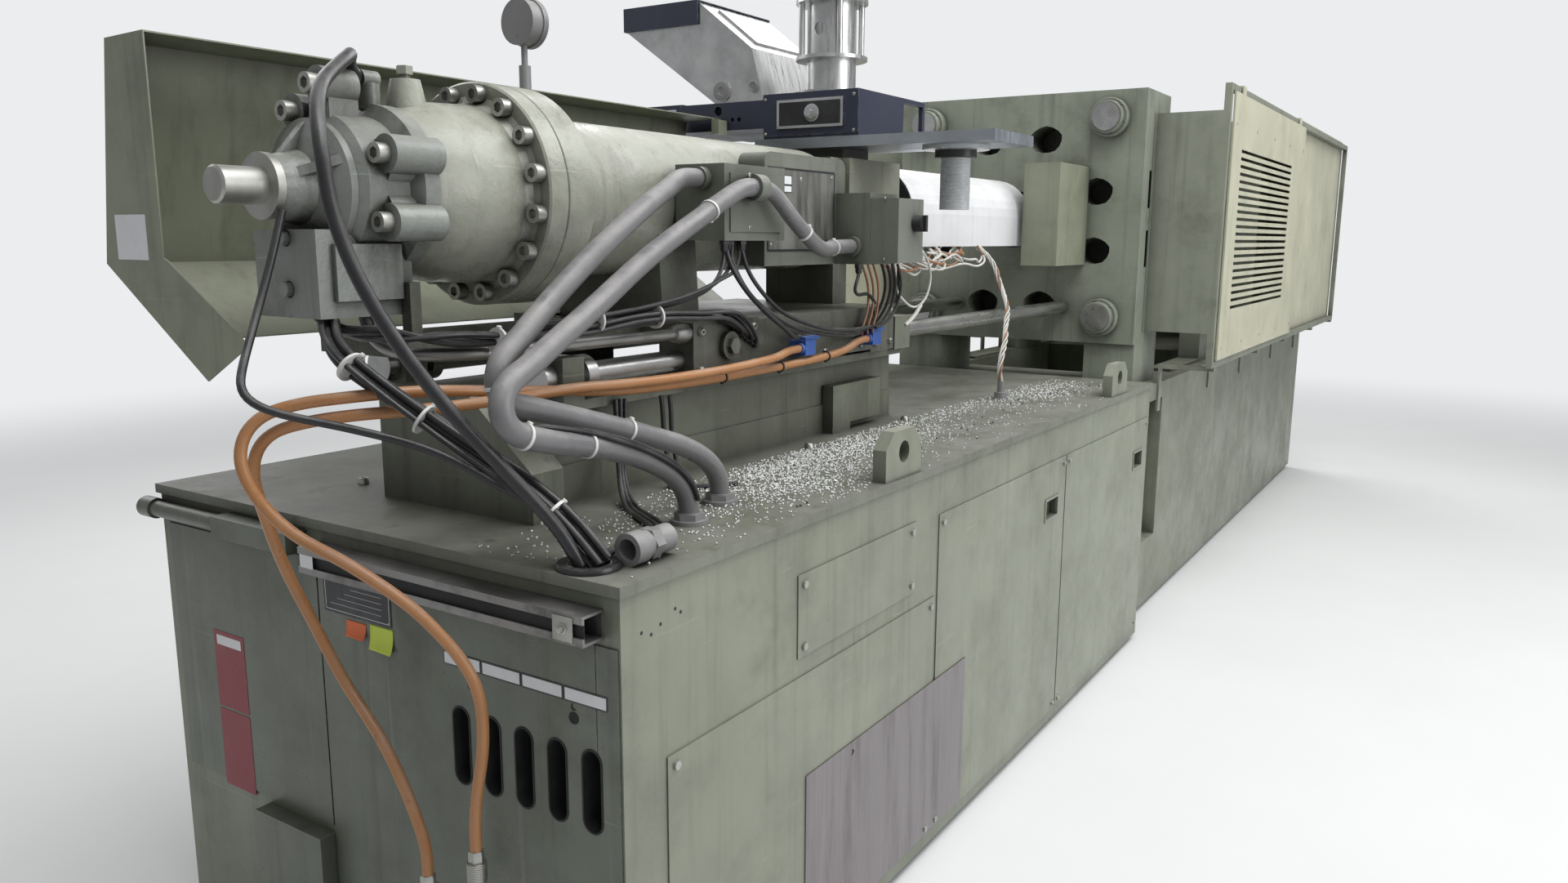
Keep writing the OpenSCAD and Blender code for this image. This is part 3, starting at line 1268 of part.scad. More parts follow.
module hopper() {
  t = hopper_t;
  p = hopper_pts;
  inner = [[p[0][0] + t, p[0][1] + t], [p[1][0] - 2, p[1][1] + t], [p[2][0] - t, p[2][1] + 2],
    [p[3][0] - t, p[3][1] + 1], [p[4][0] + 1, p[4][1] + 1], [p[4][0] + 1, p[4][1] - t - 1], [p[5][0] + t, p[5][1] - 2]];
  color(steel) {
    difference() {
      along_x(hopper_x0, hopper_x1, p);
      along_x(hopper_x0 + t, hopper_x1 - t, inner);
      bar_z(throat_x, 250, tray_z - 1, tray_z + t + 1, feed_d);
    }
    bar_x(hopper_x0 - 5, hopper_x0, 318, tray_z + 36, 66);
    bar_x(hopper_x0 - 4, hopper_x0, 197, tray_z + 43, 38);
    // Inspection cover on the sloping side, with its clamp
    along_x(hopper_x0 + 70, hopper_x1 - 60, [[p[4][0] - 30, p[4][1] - 24], [p[4][0] - 33, p[4][1] - 18],
      [p[5][0] + 27, p[5][1] + 28], [p[5][0] + 30, p[5][1] + 22.9]]);
    // Hinge pin with the two outer knuckles and their leaves on the far wall
    bar_x(hinge_x0 - knuckle_l, hinge_x1 + knuckle_l, hinge_y, hinge_z, hinge_pin_d);
    for (x = [hinge_x0 - knuckle_l, hinge_x1 + knuckle_gap]) {
      bar_x(x, x + knuckle_l - knuckle_gap, hinge_y, hinge_z, hinge_d);
      along_x(x, x + knuckle_l - knuckle_gap, [[p[2][0] - 21, p[2][1] - 13], [hinge_y, p[2][1] - 13],
        [hinge_y, p[2][1] - 6], [p[2][0] - 11, p[2][1] - 6]]);
    }
  }
}
module hopper_lid() {
  p = hopper_pts;
  x0 = hopper_x0 - lid_rim;
  x1 = hopper_x1 + lid_rim;
  y0 = p[4][0] - lid_rim;
  y1 = p[3][0] + lid_rim;
  z = hopper_top + seat_gap;
  color(dark) difference() {
    union() {
      box([x0, y0, z - lid_skirt], [x1, y1, z + lid_t]);
      bar_x(hinge_x0, hinge_x1, hinge_y, hinge_z, hinge_d);
      box([hinge_x0, y1 - 1, hinge_z - 4], [hinge_x1, hinge_y, hinge_z + 6]);
    }
    box([x0 + lid_t, y0 - 1, z - lid_skirt - 1], [x1 - lid_t, y1 - lid_t, z]);
    bar_x(hinge_x0 - 1, hinge_x1 + 1, hinge_y, hinge_z, hinge_pin_d + 2 * shaft_gap);
  }
}

module loader_neck() {
  color(steel) {
    difference() {
      union() {
        bar_z(neck_x, 0, box_top, neck_z2, neck_d);
        for (z = [box_top, neck_z1, neck_z2]) bar_z(neck_x, 0, z, z + neck_flange_t, neck_flange_d);
      }
      bar_z(neck_x, 0, box_top - 1, neck_z2 + neck_flange_t + 1, neck_d - 8);
      bar_x(neck_x - neck_d, neck_x, 0, box_top + 190, 36);
    }
    for (a = [45:90:315])
      bar_z(neck_x + 94 * cos(a), 94 * sin(a), neck_z1 + neck_flange_t, neck_z2, 18);
  }
}

// Boxes and cables on the near side

module case_box(b) { box([b[0], b[2], b[4]], [b[1], b[3], b[5]]); }
module cylinder_feet(b, xs) {
  // Feet shaped to the cylinder behind a box
  for (x = xs) difference() {
    box([x, b[3] - 1, axis_z - 70], [x + 40, b[3] + 40, axis_z + 70]);
    bar_x(x - 1, x + 41, 0, axis_z, cyl_d + 2 * seat_gap, $fn = 72);
  }
}
module terminal_box() {
  b = box_a;
  color(blue_paint) {
    case_box(b);
    cylinder_feet(b, [b[0] + 30, b[1] - 80]);
    box([b[0] + 20, b[2] - 3, b[4] + 20], [b[1] - 20, b[2] + 0.5, b[5] - 20]);
  }
  color(dark) {
    bar_x(b[0] - 22, b[0], -255, gland_z, 52);
    bar_x(b[0] + 66, b[0] + 102, b[2] - 31, low_gland_z, 60);
    box([b[0] + 72, b[2] - 20, low_gland_z - 13], [b[0] + 96, b[2] - 2, low_gland_z + 13]);
  }
}
module heater_box() {
  b = box_b;
  r = 28;
  color(paint) {
    difference() {
      union() {
        box([b[0], b[2], b[4]], [b[1], b[3], b[5] - r]);
        box([b[0] + r, b[2], b[4]], [b[1] - r, b[3], b[5]]);
        for (x = [b[0] + r, b[1] - r]) bar_y(x, b[2], b[3], b[5] - r, 2 * r);
      }
      box([b[0] + 12, b[2] - 1, b[4] + window_edge], [b[1] - 58, b[2] + 3, b[5] - window_edge]);
    }
    cylinder_feet(b, [b[0] + 40, b[1] - 90]);
  }
}
module heater_box_cover() {
  b = box_b;
  e = window_edge + window_seam;
  color(dark) box([b[0] + 16, b[2] - 1, b[4] + e], [b[1] - 62, b[2] + 3, b[5] - e]);
}
module gland_box() {
  c = box_c;
  s = switch_box;
  color(blue_paint) case_box(c);
  color(grey) {
    difference() {
      case_box(s);
      bar_y(knob[0], s[2] - 1, s[2] + 20, knob[1], 12 + 2 * shaft_gap);
    }
    bar_x(c[0] - 14, c[0], -312, link_gland_z, 54);
  }
}
module switch_knob() {
  y = switch_box[2];
  color(dark) {
    bar_y(knob[0], y - knob_l, y - seat_gap, knob[1], knob_d);
    bar_y(knob[0], y - 1, y + 16, knob[1], 12);
    box([knob[0] - 6, y - knob_l - 8, knob[1] - knob_d / 2], [knob[0] + 6, y - knob_l + 1, knob[1] + knob_d / 2]);
  }
}
module conduits() {
  color(grey) {
    cord(conduit_a, conduit_d);
    cord(conduit_b, conduit_d);
  }
}
module link_conduit() { color(grey) cord(link_route, conduit_d - 4); }
module motor_hose() { color(dark) cord(hose_route, hose_d); }
module cable_bundle() {
  color(dark) {
    cord(sensor_route, sensor_d);
    cord(bundle_route, bundle_d);
  }
}

place() levelling_pads();
place() bed_frame();
place() bed_top();
place() rear_panel();
place() cabinet_panel();
place() rear_channel();
place() side_covers();
place() bare_sheet();
place() side_panels();
place() cover_screws();
place() lifting_lugs();
place() bed_fittings();
place() injection_base();
place() guide_rods();
place() fixed_platen();
place() tie_bars();
place() clamp_cylinder();
place() end_guards();
place() clamp_covers();
place() control_panel();
place() purge_guard();
place() stop_button();
place() near_gate();
place() operator_gate();
place() moving_platen();
place() clamp_ram();
place() carriage();
place() far_guard();
place() gauge();
place() hose_couplings();
place() air_hose_1();
place() air_hose_2();
place() hose_ends();
place() injection_cylinder();
place() cylinder_head();
place() cap_screws();
place() motor_case();
place() motor_cover();
place() shaft_cap();
place() barrel();
place() barrel_cover();
place() feed_throat();
place() slide_plate();
place() drain_spout();
place() terminal_box();
place() heater_box();
place() heater_box_cover();
place() gland_box();
place() switch_knob();
place() conduits();
place() link_conduit();
place() motor_hose();
place() cable_bundle();
place() hopper_base();
place() magnet_drawer();
place() hopper();
place() hopper_lid();
place() loader_neck();
place() injection_piston();
place() screw();
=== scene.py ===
"""Finishes and fine pieces of a hydraulic injection moulding machine.

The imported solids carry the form. This script gives each of them its finish and adds what is too
thin or too soft for them: hoses, conduits and cables with their ties, plates and labels, wires
and spilt pellets. Lengths are in metres. Points are written in the machine's own measure, with x
from the bed's rear face towards the clamp, y from the injection axis towards the operator and z
from the floor, and placed() carries them into the frame.
"""
import logging
import math
from dataclasses import dataclass
from enum import Enum
from functools import cached_property
from itertools import product

import bpy
import numpy as np
from mathutils import Matrix, Vector


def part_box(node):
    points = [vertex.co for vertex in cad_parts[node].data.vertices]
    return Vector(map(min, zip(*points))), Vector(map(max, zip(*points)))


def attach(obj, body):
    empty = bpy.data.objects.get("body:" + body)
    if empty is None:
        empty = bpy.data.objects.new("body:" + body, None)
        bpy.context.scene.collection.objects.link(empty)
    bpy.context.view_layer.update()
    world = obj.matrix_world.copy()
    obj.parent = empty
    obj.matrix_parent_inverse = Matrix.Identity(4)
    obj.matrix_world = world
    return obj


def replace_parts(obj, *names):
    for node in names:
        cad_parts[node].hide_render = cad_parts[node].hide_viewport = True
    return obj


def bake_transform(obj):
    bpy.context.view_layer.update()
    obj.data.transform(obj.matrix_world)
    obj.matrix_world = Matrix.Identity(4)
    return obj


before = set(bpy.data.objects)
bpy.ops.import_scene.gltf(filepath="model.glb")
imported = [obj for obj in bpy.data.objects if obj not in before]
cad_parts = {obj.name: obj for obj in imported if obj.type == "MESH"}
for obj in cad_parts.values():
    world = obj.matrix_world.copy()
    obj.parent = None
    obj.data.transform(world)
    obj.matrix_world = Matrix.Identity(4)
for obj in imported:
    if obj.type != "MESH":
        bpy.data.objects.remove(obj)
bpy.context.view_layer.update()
BED_LENGTH = 7.3
REAR = np.array([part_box("bed_frame")[1].x - BED_LENGTH, 0.0, 0.0])
TURN = 2 * math.pi

log = logging.getLogger("machine")
Array = np.ndarray
Colour = tuple[float, float, float]
Point = tuple[float, float, float]
Route = tuple[Point, ...]

FORWARD: Point = (1, 0, 0)
REARWARD: Point = (-1, 0, 0)
NEAR: Point = (0, -1, 0)
UP: Point = (0, 0, 1)
DOWN: Point = (0, 0, -1)


class Body(Enum):
    """Bodies of the frame that pieces ride on."""

    MACHINE = "machine"
    UNIT = "injection_unit"
    HOPPER = "hopper_unit"
    DRAWER = "magnet_drawer"
    NEAR_GATE = "near_gate"


class Slot(Enum):
    """Material slots of the record."""

    SAGE = "sage_paint"
    WHITE = "white_paint"
    BLACK = "black_paint"
    STEEL = "bright_steel"
    CLEAR = "clear_plastic"
    GREY = "grey_plastic"
    RUBBER = "black_rubber"
    COPPER = "copper_hose"
    RED = "red_plastic"


class Head(Enum):
    """Screw heads: radius, height and number of sides."""

    RIVET = (0.0026, 0.0014, 12)
    HEATER_BOX = (0.0040, 0.0020, 14)
    NUT_CAP = (0.0042, 0.0030, 12)
    BOX = (0.0045, 0.0022, 14)
    HOPPER = (0.005, 0.0025, 14)
    GATE = (0.0055, 0.0028, 14)
    CARRIAGE = (0.007, 0.006, 16)
    BLOCK = (0.010, 0.010, 18)
    BASE = (0.013, 0.014, 20)


def placed(points: object) -> Array:
    """One point or an array of points in the machine's own measure, moved into the frame."""
    return np.asarray(points, float) + REAR


def unit(v: Array) -> Array:
    """Vectors along the last axis, each divided by its own length."""
    return v / np.maximum(np.linalg.norm(v, axis=-1, keepdims=True), 1e-12)


def scaled(colour: Colour, by: float) -> Colour:
    """A colour made lighter or darker."""
    return tuple(min(c * by, 1.0) for c in colour)


class Graph:
    """Short calls for building the nodes of one material or surround."""

    def __init__(self, owner: bpy.types.ID, shader: str = "BsdfPrincipled", end: str = "OutputMaterial") -> None:
        """Clears the owner's nodes and joins a shader to its output.

        Args:
            owner: the material or surround.
            shader: the kind of its shader node.
            end: the kind of its output node.
        """
        owner.use_nodes = True
        self.owner = owner
        self.tree = owner.node_tree
        self.tree.nodes.clear()
        self.shader, self.end = self.node(shader), self.node(end)
        self.feed(self.end.inputs["Surface"], self.shader.outputs[0])

    def node(self, kind: str, inputs: dict | None = None, **settings: object) -> bpy.types.Node:
        """Makes a node, sets its options and feeds its inputs.

        Args:
            kind: the node's kind, less its first word.
            inputs: a socket or a value for each input that is fed.
            **settings: a value for each option.

        Returns:
            The node.
        """
        made = self.tree.nodes.new("ShaderNode" + kind)
        for key, value in settings.items():
            setattr(made, key, value)
        for key, value in (inputs or {}).items():
            self.feed(made.inputs[key], value)
        return made

    def feed(self, socket: bpy.types.NodeSocket, value: object) -> None:
        """Links a socket into another, or sets its value.

        Args:
            socket: the input.
            value: another node's output, a number or a colour.
        """
        if isinstance(value, bpy.types.NodeSocket):
            self.tree.links.new(value, socket)
        elif isinstance(value, tuple) and len(value) == 3 and socket.type == "RGBA":
            socket.default_value = (*value, 1.0)
        else:
            socket.default_value = value

    def where(self, stretch: Point = (1, 1, 1), turn: Point = (0, 0, 0),
              source: str = "Object") -> bpy.types.NodeSocket:
        """The place on the piece, turned and then stretched, in Object coordinates or its UV map."""
        point = self.node("TexCoord").outputs[source]
        return self.node("Mapping", {"Vector": point, "Scale": stretch, "Rotation": turn}).outputs[0]

    def noise(self, scale: float, detail: float = 3.0, rough: float = 0.55, stretch: Point = (1, 1, 1),
              turn: Point = (0, 0, 0)) -> bpy.types.NodeSocket:
        """Cloudy noise over the piece, from 0 to 1."""
        values = {"Vector": self.where(stretch, turn), "Scale": scale, "Detail": detail, "Roughness": rough}
        return self.node("TexNoise", values).outputs["Fac"]

    def spread(self, value: object, low: float, high: float, least: float = 0.0,
               most: float = 1.0) -> bpy.types.NodeSocket:
        """A soft step of a value between two limits, from the least to the most."""
        values = {"Value": value, "From Min": low, "From Max": high, "To Min": least, "To Max": most}
        return self.node("MapRange", values, interpolation_type="SMOOTHSTEP").outputs[0]

    def cloud(self, noise: tuple, low: float, high: float, least: float = 0.0,
              most: float = 1.0) -> bpy.types.NodeSocket:
        """A soft step of the cloudy noise that the given values make."""
        return self.spread(self.noise(*noise), low, high, least, most)

    def math(self, operation: str, a: object, b: object) -> bpy.types.NodeSocket:
        """One sum of two values, held between 0 and 1 where they are added."""
        return self.node("Math", {0: a, 1: b}, operation=operation, use_clamp=operation == "ADD").outputs[0]

    def times(self, a: object, b: object) -> bpy.types.NodeSocket:
        """Two values multiplied."""
        return self.math("MULTIPLY", a, b)

    def mix(self, share: object, a: object, b: object) -> bpy.types.NodeSocket:
        """Two colours mixed by a share."""
        return self.node("Mix", {0: share, 6: a, 7: b}, data_type="RGBA").outputs[2]

    def upward(self) -> bpy.types.NodeSocket:
        """How far a face looks up: 1 on tops, 0 on walls, -1 underneath."""
        normal = self.node("NewGeometry").outputs["Normal"]
        return self.node("SeparateXYZ", {0: normal}).outputs["Z"]

    def edges(self, radius: float) -> bpy.types.NodeSocket:
        """1 near sharp edges: where a rounded normal leaves the true one.

        Args:
            radius: how widely the normal is rounded.

        Returns:
            The output.
        """
        soft = self.node("Bevel", {"Radius": radius}, samples=4).outputs[0]
        true = self.node("NewGeometry").outputs["Normal"]
        dot = self.node("VectorMath", {0: soft, 1: true}, operation="DOT_PRODUCT").outputs["Value"]
        return self.spread(dot, 0.99, 0.86)

    def hollows(self, reach: float) -> bpy.types.NodeSocket:
        """1 deep in corners and under pieces, 0 in the open, judged within the reach."""
        open_share = self.node("AmbientOcclusion", {"Distance": reach}, samples=4).outputs["AO"]
        return self.spread(open_share, 0.92, 0.30)

    def bumps(self, height: object, depth: float) -> None:
        """Gives the shader a bump of the given depth in metres."""
        made = self.node("Bump", {"Height": height, "Distance": depth, "Strength": 1.0})
        self.feed(self.shader.inputs["Normal"], made.outputs[0])

    def done(self, **inputs: object) -> bpy.types.ID:
        """Feeds the shader's inputs.

        Args:
            **inputs: a socket or a value for each input, named with _ for a space.

        Returns:
            The owner.
        """
        for key, value in inputs.items():
            self.feed(self.shader.inputs[key.replace("_", " ")], value)
        return self.owner


@dataclass(frozen=True)
class Look:
    """What every finish has: a name, and nodes that are built from its measures."""

    name: str

    def graph(self) -> Graph:
        """A new material's graph under the finish's name."""
        return Graph(bpy.data.materials.new(self.name))


@dataclass(frozen=True)
class Paint(Look):
    """Machine paint: mottled, filmed with oil and dust, run down its walls and worn at its edges, with painted
    shade in its hollows and, where set, painted shade all over.
    """

    colour: Colour
    grime_and_shade: float
    dust: float
    chips: float
    cast: float
    rough: float
    worn: Colour = (0.20, 0.20, 0.19)
    film: Colour = (0.055, 0.055, 0.042)
    powder: Colour = (0.33, 0.33, 0.28)
    # how far the whole paint is darkened towards its film colour, as painted shade
    painted_shade: float = 0.0

    def build(self) -> bpy.types.Material:
        """Builds the paint's nodes, one coat over the other.

        Returns:
            The material.
        """
        g, grime_and_shade, painted_shade, film = self.graph(), self.grime_and_shade, self.painted_shade, self.film
        colour = g.mix(g.cloud((2.3, 5, 0.6), 0.3, 0.7), scaled(self.colour, 0.90), scaled(self.colour, 1.07))
        coats = {
            "smears": ((5.0, 8, 0.68), 0.44, 0.80, 0, 0.72 * grime_and_shade, film),
            # this coat's dark film clouds are dirt, and its raised lowest and highest levels are painted shade all
            # over
            "haze_and_shade": ((1.1, 4, 0.6), 0.40, 0.75, 0.12 * grime_and_shade + painted_shade, 0.5 * grime_and_shade + painted_shade, scaled(film, 1.3)),
            "runs": ((1.0, 5, 0.65, (22, 22, 0.7)), 0.50, 0.74, 0, 0.55 * grime_and_shade, scaled(film, 1.2)),
            "pale runs": ((1.3, 3, 0.5, (34, 34, 0.9)), 0.62, 0.76, 0, 0.22 * grime_and_shade, self.powder)}
        for *cloud, tone in coats.values():
            colour = g.mix(g.cloud(*cloud), colour, tone)
        up = g.spread(g.upward(), 0.55, 0.92)
        settled = g.times(up, g.cloud((6.0, 7, 0.7), 0.32, 0.62, 0, self.dust))
        colour = g.mix(settled, colour, self.powder)
        spots = g.times(up, g.cloud((13.0, 6, 0.7), 0.58, 0.72, 0, self.dust))
        colour = g.mix(spots, colour, scaled(film, 1.2))
        # painted shade: hollows and the undersides of parts are darkened towards half the film colour, more so with
        # more grime
        deep = g.times(g.hollows(0.11), min(0.35 + 0.7 * grime_and_shade, 0.9))
        colour = g.mix(deep, colour, scaled(film, 0.5))
        edge = g.times(g.edges(0.004), g.cloud((28, 4, 0.7), 0.42, 0.60, 0, self.chips))
        colour = g.mix(edge, colour, self.worn)
        scratches = g.cloud((2.2, 3, 0.5, (2.5, 1, 42), (0.2, 0.35, 0.1)), 0.70, 0.735, 0, 0.5 * self.chips)
        colour = g.mix(scratches, colour, scaled(self.colour, 1.35))
        sheen = g.cloud((4.0, 6, 0.7), 0.3, 0.75, self.rough - 0.09, self.rough + 0.16)
        sheen = g.math("ADD", sheen, g.times(settled, 0.25))
        coarse = g.times(g.noise(45.0, 5, 0.65), 3.0 * self.cast)
        g.bumps(g.math("ADD", g.times(g.noise(330.0, 2, 0.5), 0.12), coarse), 0.0016)
        return g.done(Base_Color=colour, Roughness=sheen, IOR=1.48)


@dataclass(frozen=True)
class Metal(Look):
    """Bare metal with its grain in one direction, stains and a little rust."""

    colour: Colour
    rough: float
    grain: Point
    grain_depth: float
    stain: float
    rust: float
    drawn: Point = (1, 1, 1)

    def build(self) -> bpy.types.Material:
        """Builds the metal's nodes.

        Returns:
            The material.
        """
        g = self.graph()
        lines = g.noise(9.0, 4, 0.6, self.grain)
        colour = g.mix(g.spread(lines, 0.3, 0.7), scaled(self.colour, 0.84), scaled(self.colour, 1.08))
        stained = g.cloud((6.0, 7, 0.7, self.drawn), 0.45, 0.75, 0, self.stain)
        colour = g.mix(stained, colour, scaled(self.colour, 0.42))
        brown = g.cloud((11.0, 6, 0.72), 0.56, 0.7, 0, self.rust)
        colour = g.mix(brown, colour, (0.20, 0.085, 0.035))
        sheen = g.spread(lines, 0.25, 0.75, self.rough - 0.08, self.rough + 0.12)
        sheen = g.math("ADD", sheen, g.times(g.math("ADD", stained, brown), 0.3))
        g.bumps(lines, 0.0002 + self.grain_depth)
        metallic = g.math("SUBTRACT", 1.0, g.times(brown, 0.9))
        return g.done(Base_Color=colour, Roughness=sheen, Metallic=metallic)


@dataclass(frozen=True)
class Polymer(Look):
    """Rubber or plastic: nearly plain, scuffed and dusted on top, and ribbed along a tube if asked."""

    colour: Colour
    rough: float
    dust: float
    powder: Colour = (0.32, 0.31, 0.28)
    ribs: float = 0.0
    rib_depth: float = 0.0
    clear: float = 0.0

    def build(self) -> bpy.types.Material:
        """Builds the plastic's nodes.

        Returns:
            The material.
        """
        g = self.graph()
        colour = g.mix(g.noise(7.0, 5, 0.6), scaled(self.colour, 0.8), scaled(self.colour, 1.2))
        dusty = g.times(g.spread(g.upward(), -0.1, 0.9), g.cloud((14, 6, 0.7), 0.32, 0.68, 0, self.dust))
        colour = g.mix(dusty, colour, self.powder)
        colour = g.mix(g.cloud((40, 5, 0.7), 0.62, 0.72, 0, 0.5), colour, scaled(self.colour, 0.55))
        sheen = g.cloud((9, 4, 0.6), 0.3, 0.7, self.rough - 0.08, self.rough + 0.1)
        if self.ribs:
            wave = {"Vector": g.where((0, 1, 0), source="UV"), "Scale": self.ribs / 20.0}
            g.bumps(g.node("TexWave", wave, bands_direction="Y").outputs["Fac"], self.rib_depth)
        else:
            g.bumps(g.noise(120, 4, 0.6), 0.0004)
        glassy = {"Transmission_Weight": self.clear, "IOR": 1.46} if self.clear else {}
        return g.done(Base_Color=colour, Roughness=g.math("ADD", sheen, g.times(dusty, 0.4)), **glassy)


@dataclass(frozen=True)
class Print(Look):
    """A printed film or plate: one flat ink, faded and rubbed."""

    ink: Colour
    rough: float = 0.4
    rubbed: float = 0.3

    def build(self) -> bpy.types.Material:
        """Builds the ink's nodes.

        Returns:
            The material.
        """
        g = self.graph()
        faded = g.cloud((9, 6, 0.7), 0.4, 0.7, 0, self.rubbed)
        colour = g.mix(faded, self.ink, tuple(0.55 * c + 0.16 for c in self.ink))
        colour = g.mix(g.cloud((30, 6, 0.75), 0.52, 0.72, 0, self.rubbed), colour, scaled(self.ink, 0.6))
        g.bumps(g.noise(60, 3, 0.5), 0.0002)
        return g.done(Base_Color=colour, Roughness=g.spread(faded, 0, 1, self.rough, self.rough + 0.2))


@dataclass(frozen=True)
class Glass(Look):
    """Clear glass with a faint tint."""

    def build(self) -> bpy.types.Material:
        """Builds the glass's nodes, with fine dust in its roughness.

        Returns:
            The material.
        """
        g = self.graph()
        cloudy = g.cloud((30, 5, 0.7), 0.4, 0.7, 0.02, 0.18)
        return g.done(Base_Color=(0.95, 0.98, 0.97), Roughness=cloudy, Transmission_Weight=1.0, IOR=1.45)


class Finish(Enum):
    """Every finish of the machine.

    After its name and colour, a paint has grime, which also sets its painted shade in hollows,
    dust, chips, cast and roughness, and some paints are darkened all over as painted shade; a metal
    has roughness, grain, its depth, stain, rust and drawn stains, and a plastic has roughness, dust
    and the colour of that dust.
    """

    BED = Paint("bed_paint", (0.232, 0.250, 0.192), 0.6, 0.8, 0.7, 0.05, 0.40)
    # The deck, rear, base and greasy paints are darkened all over as painted shade by their last setting.
    DECK = Paint("deck_paint", (0.215, 0.228, 0.182), 0.9, 0.75, 0.7, 0.06, 0.36,
                 powder=(0.20, 0.20, 0.175), painted_shade=0.18)
    # The rear paint is the bed's paint made darker, as painted shade of the rear face.
    REAR = Paint("rear_paint_shaded", (0.186, 0.214, 0.172), 0.9, 0.3, 0.8, 0.03, 0.34, painted_shade=0.17)
    PANEL = Paint("panel_paint", (0.238, 0.256, 0.198), 0.5, 0.3, 0.55, 0.02, 0.38)
    CASTING = Paint("casting_paint", (0.285, 0.295, 0.235), 0.75, 0.5, 0.55, 0.35, 0.36)
    CYLINDER = Paint("cylinder_paint", (0.36, 0.372, 0.312), 0.62, 0.35, 0.6, 0.34, 0.27)
    MOTOR = Paint("motor_paint", (0.262, 0.280, 0.262), 0.95, 0.45, 0.8, 0.36, 0.26)
    PLATEN = Paint("platen_paint", (0.262, 0.288, 0.232), 0.75, 0.5, 0.5, 0.25, 0.36)
    BASE = Paint("base_paint", (0.205, 0.222, 0.17), 1.0, 0.8, 0.6, 0.25, 0.40, painted_shade=0.14)
    GREASY = Paint("greasy_paint", (0.165, 0.175, 0.14), 1.0, 0.6, 0.6, 0.30, 0.32,
                   film=(0.035, 0.034, 0.028), powder=(0.22, 0.22, 0.19), painted_shade=0.22)
    BOX = Paint("box_paint", (0.178, 0.192, 0.162), 0.65, 0.45, 0.5, 0.03, 0.34)
    SHEET = Paint("guard_paint", (0.26, 0.28, 0.205), 0.6, 0.35, 0.35, 0.02, 0.40)
    CREAM = Paint("gate_paint", (0.535, 0.53, 0.40), 0.35, 0.3, 0.35, 0.02, 0.40,
                  worn=(0.30, 0.29, 0.25), film=(0.13, 0.125, 0.095))
    INSIDE = Paint("gate_inside_paint", (0.25, 0.27, 0.215), 0.7, 0.35, 0.4, 0.02, 0.40)
    WHITE = Paint("cover_white", (0.68, 0.685, 0.70), 0.22, 0.3, 0.3, 0.0, 0.38,
                  worn=(0.35, 0.34, 0.33), film=(0.16, 0.15, 0.14))
    NAVY = Paint("navy_paint", (0.026, 0.030, 0.056), 0.3, 0.35, 0.5, 0.02, 0.42,
                 worn=(0.30, 0.31, 0.34), film=(0.02, 0.02, 0.025), powder=(0.20, 0.20, 0.21))
    ROD = Metal("ground_rod", (0.60, 0.60, 0.59), 0.26, (0.2, 1, 1), 0.0, 0.65, 0.10)
    ZINC = Metal("zinc_screw", (0.47, 0.47, 0.44), 0.38, (1, 1, 1), 0.0, 0.45, 0.12)
    OIL_PIPE = Metal("oil_pipe", (0.30, 0.30, 0.29), 0.40, (0.4, 1, 1), 0.0, 0.85, 0.10)
    # The brushed sheet's pinkish tint is a painted reflection.
    BRUSHED = Metal("brushed_sheet", (0.285, 0.262, 0.272), 0.36, (16, 16, 0.5), 0.00005, 0.45, 0.06, (3, 3, 0.3))
    DULL = Metal("dull_cover", (0.30, 0.30, 0.28), 0.46, (4, 4, 0.6), 0.00005, 0.6, 0.06, (2, 2, 0.5))
    CHANNEL = Metal("channel_steel", (0.33, 0.325, 0.32), 0.46, (1, 0.3, 6), 0.0, 0.9, 0.25)
    SLIDE = Metal("slide_steel", (0.46, 0.49, 0.55), 0.36, (6, 0.4, 1), 0.0001, 0.45, 0.05)
    STAINLESS = Metal("stainless_sheet", (0.60, 0.60, 0.60), 0.30, (14, 1, 1), 0.00005, 0.35, 0.0)
    BARREL = Metal("heater_band", (0.40, 0.38, 0.36), 0.40, (1, 6, 6), 0.0001, 0.7, 0.25)
    POLISHED = Metal("polished_steel", (0.66, 0.66, 0.67), 0.18, (1, 1, 1), 0.0, 0.25, 0.0)
    CONDUIT = Polymer("grey_conduit", (0.155, 0.152, 0.157), 0.33, 0.5, (0.36, 0.345, 0.33))
    RUBBER = Polymer("black_rubber", (0.016, 0.016, 0.018), 0.34, 0.38, (0.19, 0.185, 0.18))
    AIRLINE = Polymer("brown_hose", (0.38, 0.175, 0.068), 0.30, 0.60, (0.38, 0.28, 0.22))
    BLUE = Polymer("blue_handle", (0.03, 0.09, 0.33), 0.35, 0.4, (0.25, 0.26, 0.28))
    BLACK = Polymer("black_plastic", (0.018, 0.018, 0.020), 0.42, 0.3, (0.22, 0.22, 0.22))
    RED = Polymer("red_plastic", (0.46, 0.02, 0.02), 0.30, 0.1)
    FITTING = Polymer("grey_fitting", (0.20, 0.20, 0.20), 0.40, 0.4, (0.40, 0.39, 0.37))
    TIE = Polymer("white_tie", (0.62, 0.62, 0.60), 0.40, 0.3, (0.45, 0.43, 0.40))
    WIRE = Polymer("woven_wire", (0.56, 0.55, 0.51), 0.75, 0.35, (0.42, 0.40, 0.36), ribs=700, rib_depth=0.0006)
    CLEAR = Polymer("clear_tube", (0.72, 0.74, 0.76), 0.22, 0.20, (0.5, 0.5, 0.5), clear=0.45)
    PELLET = Polymer("milky_pellet", (0.78, 0.79, 0.78), 0.30, 0.05, (0.5, 0.5, 0.48))
    COPPER = Polymer("thin_brown_pipe", (0.30, 0.13, 0.06), 0.34, 0.3, (0.36, 0.30, 0.24))
    PLATE_BLACK = Print("plate_black", (0.025, 0.025, 0.03))
